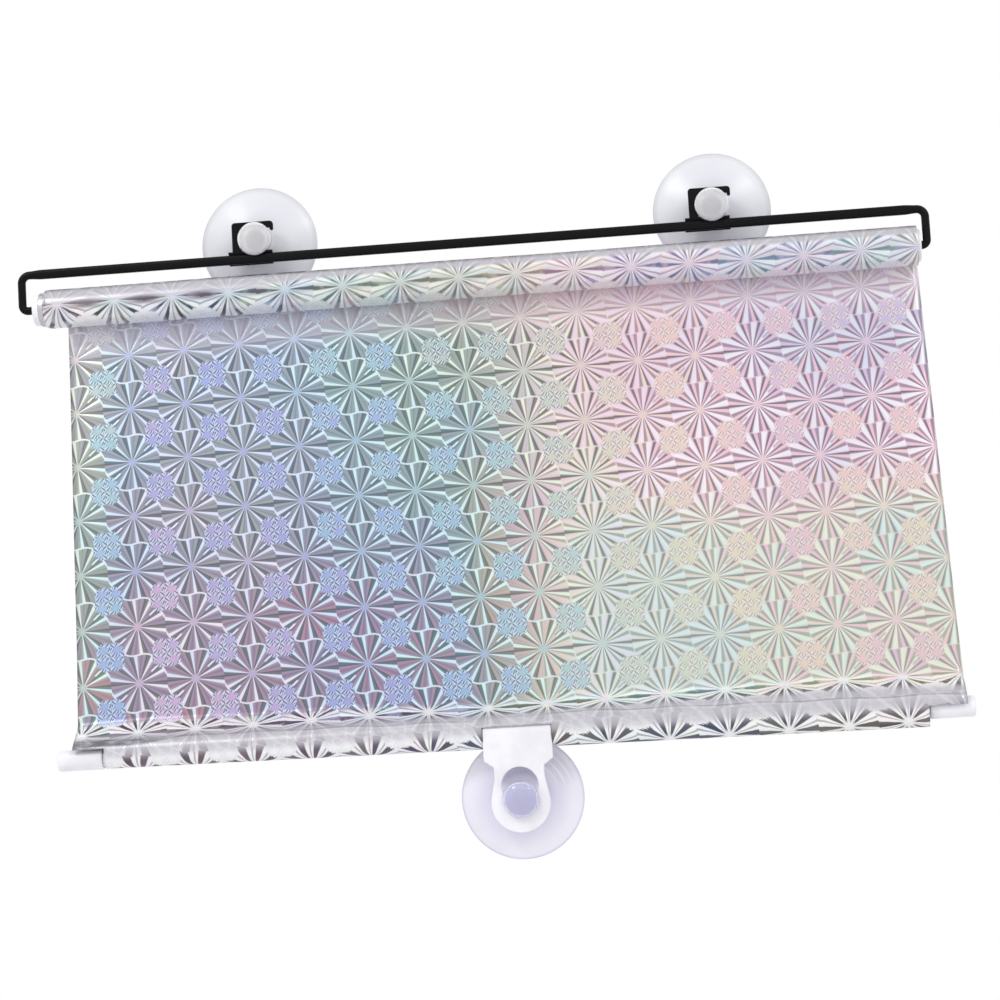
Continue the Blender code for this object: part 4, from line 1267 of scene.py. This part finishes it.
def makeRailClip():
    front = -railClip["outer"]
    back = front + railClip["plate"]
    below = -railClip["length"] - 0.01
    section = [(front, below), (front, 0.0)]
    section += arc((0.0, 0.0), railClip["outer"], 180, railClip["ringEnd"], 40)[1:]
    meets = 180.0 + math.degrees(math.acos(min(1.0, -back / railClip["bore"])))
    section += arc((0.0, 0.0), railClip["bore"], railClip["ringEnd"], meets, 40)
    section.append((back, below))
    half = railClip["width"] / 2
    piece = addMesh("railClip", extruded(section, "YZ", -half, half), whitePlastic, 42.0)
    waist = railClip["waist"] / 2
    waistZ = -railClip["shoulder"] - railClip["waistFall"]
    fillet = railClip["fillet"]
    endZ = railClip["endRadius"] - railClip["length"]
    edge = [(half, 0.03)]
    edge += arc((half - fillet, -railClip["shoulder"] + fillet), fillet, 0, -80, 10)
    edge += arc((waist + fillet, waistZ), fillet, 100, 180, 10)
    edge.append((waist, waistZ - railClip["waistStraight"]))
    edge += arc((0.0, endZ), railClip["endRadius"], 12, -90, 40)
    outline = edge + [(-x, z) for x, z in edge[-2::-1]]
    carve(piece, extruded(outline, "XZ", -0.03, 0.03), "INTERSECT")
    entryZ = railClip["entryAbove"] - railClip["cupBelow"]
    entry, neck, apart = railClip["entryHole"], railClip["neckHole"], railClip["entryAbove"]
    spread = math.degrees(math.acos((apart ** 2 + entry ** 2 - neck ** 2) / (2 * apart * entry)))
    reach = math.degrees(math.acos((apart ** 2 + neck ** 2 - entry ** 2) / (2 * apart * neck)))
    keyhole = arc((0.0, entryZ), entry, -90 + spread, 270 - spread, 64)
    keyhole += arc((0.0, -railClip["cupBelow"]), neck, 90 + reach, 450 - reach, 40)[1:-1]
    carve(piece, extruded(keyhole, "XZ", -0.03, 0.0), "DIFFERENCE")
    rounded(piece, railClip["ease"], 3)
    moveBy(piece, railFrame)
    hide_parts("rail_clip")
    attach(piece, "clip")


makeRailClip()

railCap = {"radius": 0.0047, "rounding": 0.0012, "sleeve": 0.0040, "floor": 0.0030, "steps": 72}


def makeRailCap(side, way):
    low, high = nodeBox("rail_cap_" + side)
    end, mouth = (low.x, high.x) if way > 0 else (high.x, low.x)
    length = abs(mouth - end)
    r, rounding = railCap["radius"], railCap["rounding"]
    profile = [(0.0, 0.0), (0.0, r - rounding - 0.0012)]
    profile += arc((rounding, r - rounding), rounding, 180, 90, 10)
    profile += [(length - 0.0004, r), (length - 0.0001, r - 0.0001), (length, r - 0.0004)]
    profile += [(length, railCap["sleeve"]), (railCap["floor"], railCap["sleeve"]), (railCap["floor"], 0.0)]
    bm = turned(profile, (way, 0, 0), (end, railAxis.y, railAxis.z), railCap["steps"])
    piece = addMesh("railCap" + side.capitalize(), bm, whitePlastic, 42.0)
    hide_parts("rail_cap_" + side)
    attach(piece, "curtain")


makeRailCap("left", 1)
makeRailCap("right", -1)

rollerEnd = {"flange": 0.0075, "rounding": 0.0010, "body": 0.0069, "steps": 80}


def makeRollerEnd(name, nodeName, outerFace, way, flange, depth, bore):
    rounding = rollerEnd["rounding"]
    profile = arc((rounding, rollerEnd["flange"] - rounding), rounding, 180, 90, 8)
    profile += [(flange, rollerEnd["flange"]), (flange, rollerEnd["body"])]
    profile += [(depth, rollerEnd["body"]), (depth, bore)]
    profile += [(0.0004, bore), (0.0, bore + 0.0004)]
    bm = turned(profile, (way, 0, 0), (outerFace, rollAxis.y, rollAxis.z), rollerEnd["steps"], True)
    piece = addMesh(name, bm, whitePlastic, 42.0)
    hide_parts(nodeName)
    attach(piece, "roller")


makeRollerEnd("rollerPlug", "idle_plug", nodeBox("idle_plug")[0].x, 1, 0.0030, 0.018, 0.0022)
makeRollerEnd("rollerBush", "spring_bush", nodeBox("spring_bush")[1].x, -1, 0.0018, 0.016, 0.0039)
print("clip, caps and roller ends made")

# camera: the photograph's place, seen slightly from below and turned a little
view = {
    "place": (0.10292, -1.19738, -0.46),
    "target": (0.009, -0.00404, -0.1341),
    "roll": math.radians(-2.68),
    "lens": 97.56,
    "sensor": 36.0,
}


def makeCamera():
    data = bpy.data.cameras.new("camera")
    data.lens = view["lens"]
    data.sensor_width = view["sensor"]
    camera = bpy.data.objects.new("camera", data)
    bpy.context.scene.collection.objects.link(camera)
    place = Vector(view["place"])
    forward = (Vector(view["target"]) - place).normalized()
    right = forward.cross(Vector((0, 0, 1))).normalized()
    up = right.cross(forward)
    turn = view["roll"]
    right, up = right * math.cos(turn) + up * math.sin(turn), up * math.cos(turn) - right * math.sin(turn)
    camera.matrix_world = Matrix((
        (right.x, up.x, -forward.x, place.x),
        (right.y, up.y, -forward.y, place.y),
        (right.z, up.z, -forward.z, place.z),
        (0, 0, 0, 1),
    ))
    bpy.context.scene.camera = camera


makeCamera()

# studio: white surround, a pale floor far below the hanging object, and soft lamps
studio = {
    "floorDrop": 0.42,
    "floorSize": 3.0,
    "floorColour": srgb(240, 240, 242),
    "floorRoughness": 0.8,
    "aim": (0, 0, -0.14),
    "surround": 0.84,
    "lamps": [
        {"name": "keyLamp", "place": (-0.9, -1.5, 1.0), "size": 0.45, "power": 9.0},
        {"name": "fillLamp", "place": (1.1, -1.4, 0.8), "size": 0.35, "power": 4.0},
    ],
}


def makeStudio():
    world = bpy.data.worlds.new("studio")
    bpy.context.scene.world = world
    world.use_nodes = True
    tree = world.node_tree
    background = tree.nodes["Background"]
    path = tree.nodes.new("ShaderNodeLightPath").outputs
    camera, glossy, through = (Value(path[f"Is {kind} Ray"]) for kind in ("Camera", "Glossy", "Transmission"))
    seen = maths("MAXIMUM", camera, maths("MAXIMUM", glossy, through))
    strength = soften(seen, 0.0, 1.0, studio["surround"], 1.0)
    background.inputs["Color"].default_value = (1, 1, 1, 1)
    plug(strength, background.inputs["Strength"])
    for lamp in studio["lamps"]:
        data = bpy.data.lights.new(lamp["name"], "AREA")
        data.size = lamp["size"]
        data.energy = lamp["power"]
        light = bpy.data.objects.new(lamp["name"], data)
        light.location = lamp["place"]
        aim = Vector(studio["aim"]) - light.location
        light.rotation_euler = aim.to_track_quat("-Z", "Y").to_euler()
        bpy.context.scene.collection.objects.link(light)
    bm = bmesh.new()
    bmesh.ops.create_grid(bm, x_segments=1, y_segments=1, size=studio["floorSize"])
    floorMaterial, _, _ = newMaterial("paleFloor", Base_Color=studio["floorColour"],
                                      Roughness=studio["floorRoughness"])
    floor = addMesh("studioFloor", bm, floorMaterial)
    floor.location.z = cadBox[0].z - studio["floorDrop"]


makeStudio()
bpy.context.scene.view_settings.view_transform = "Standard"

print("scene ready")
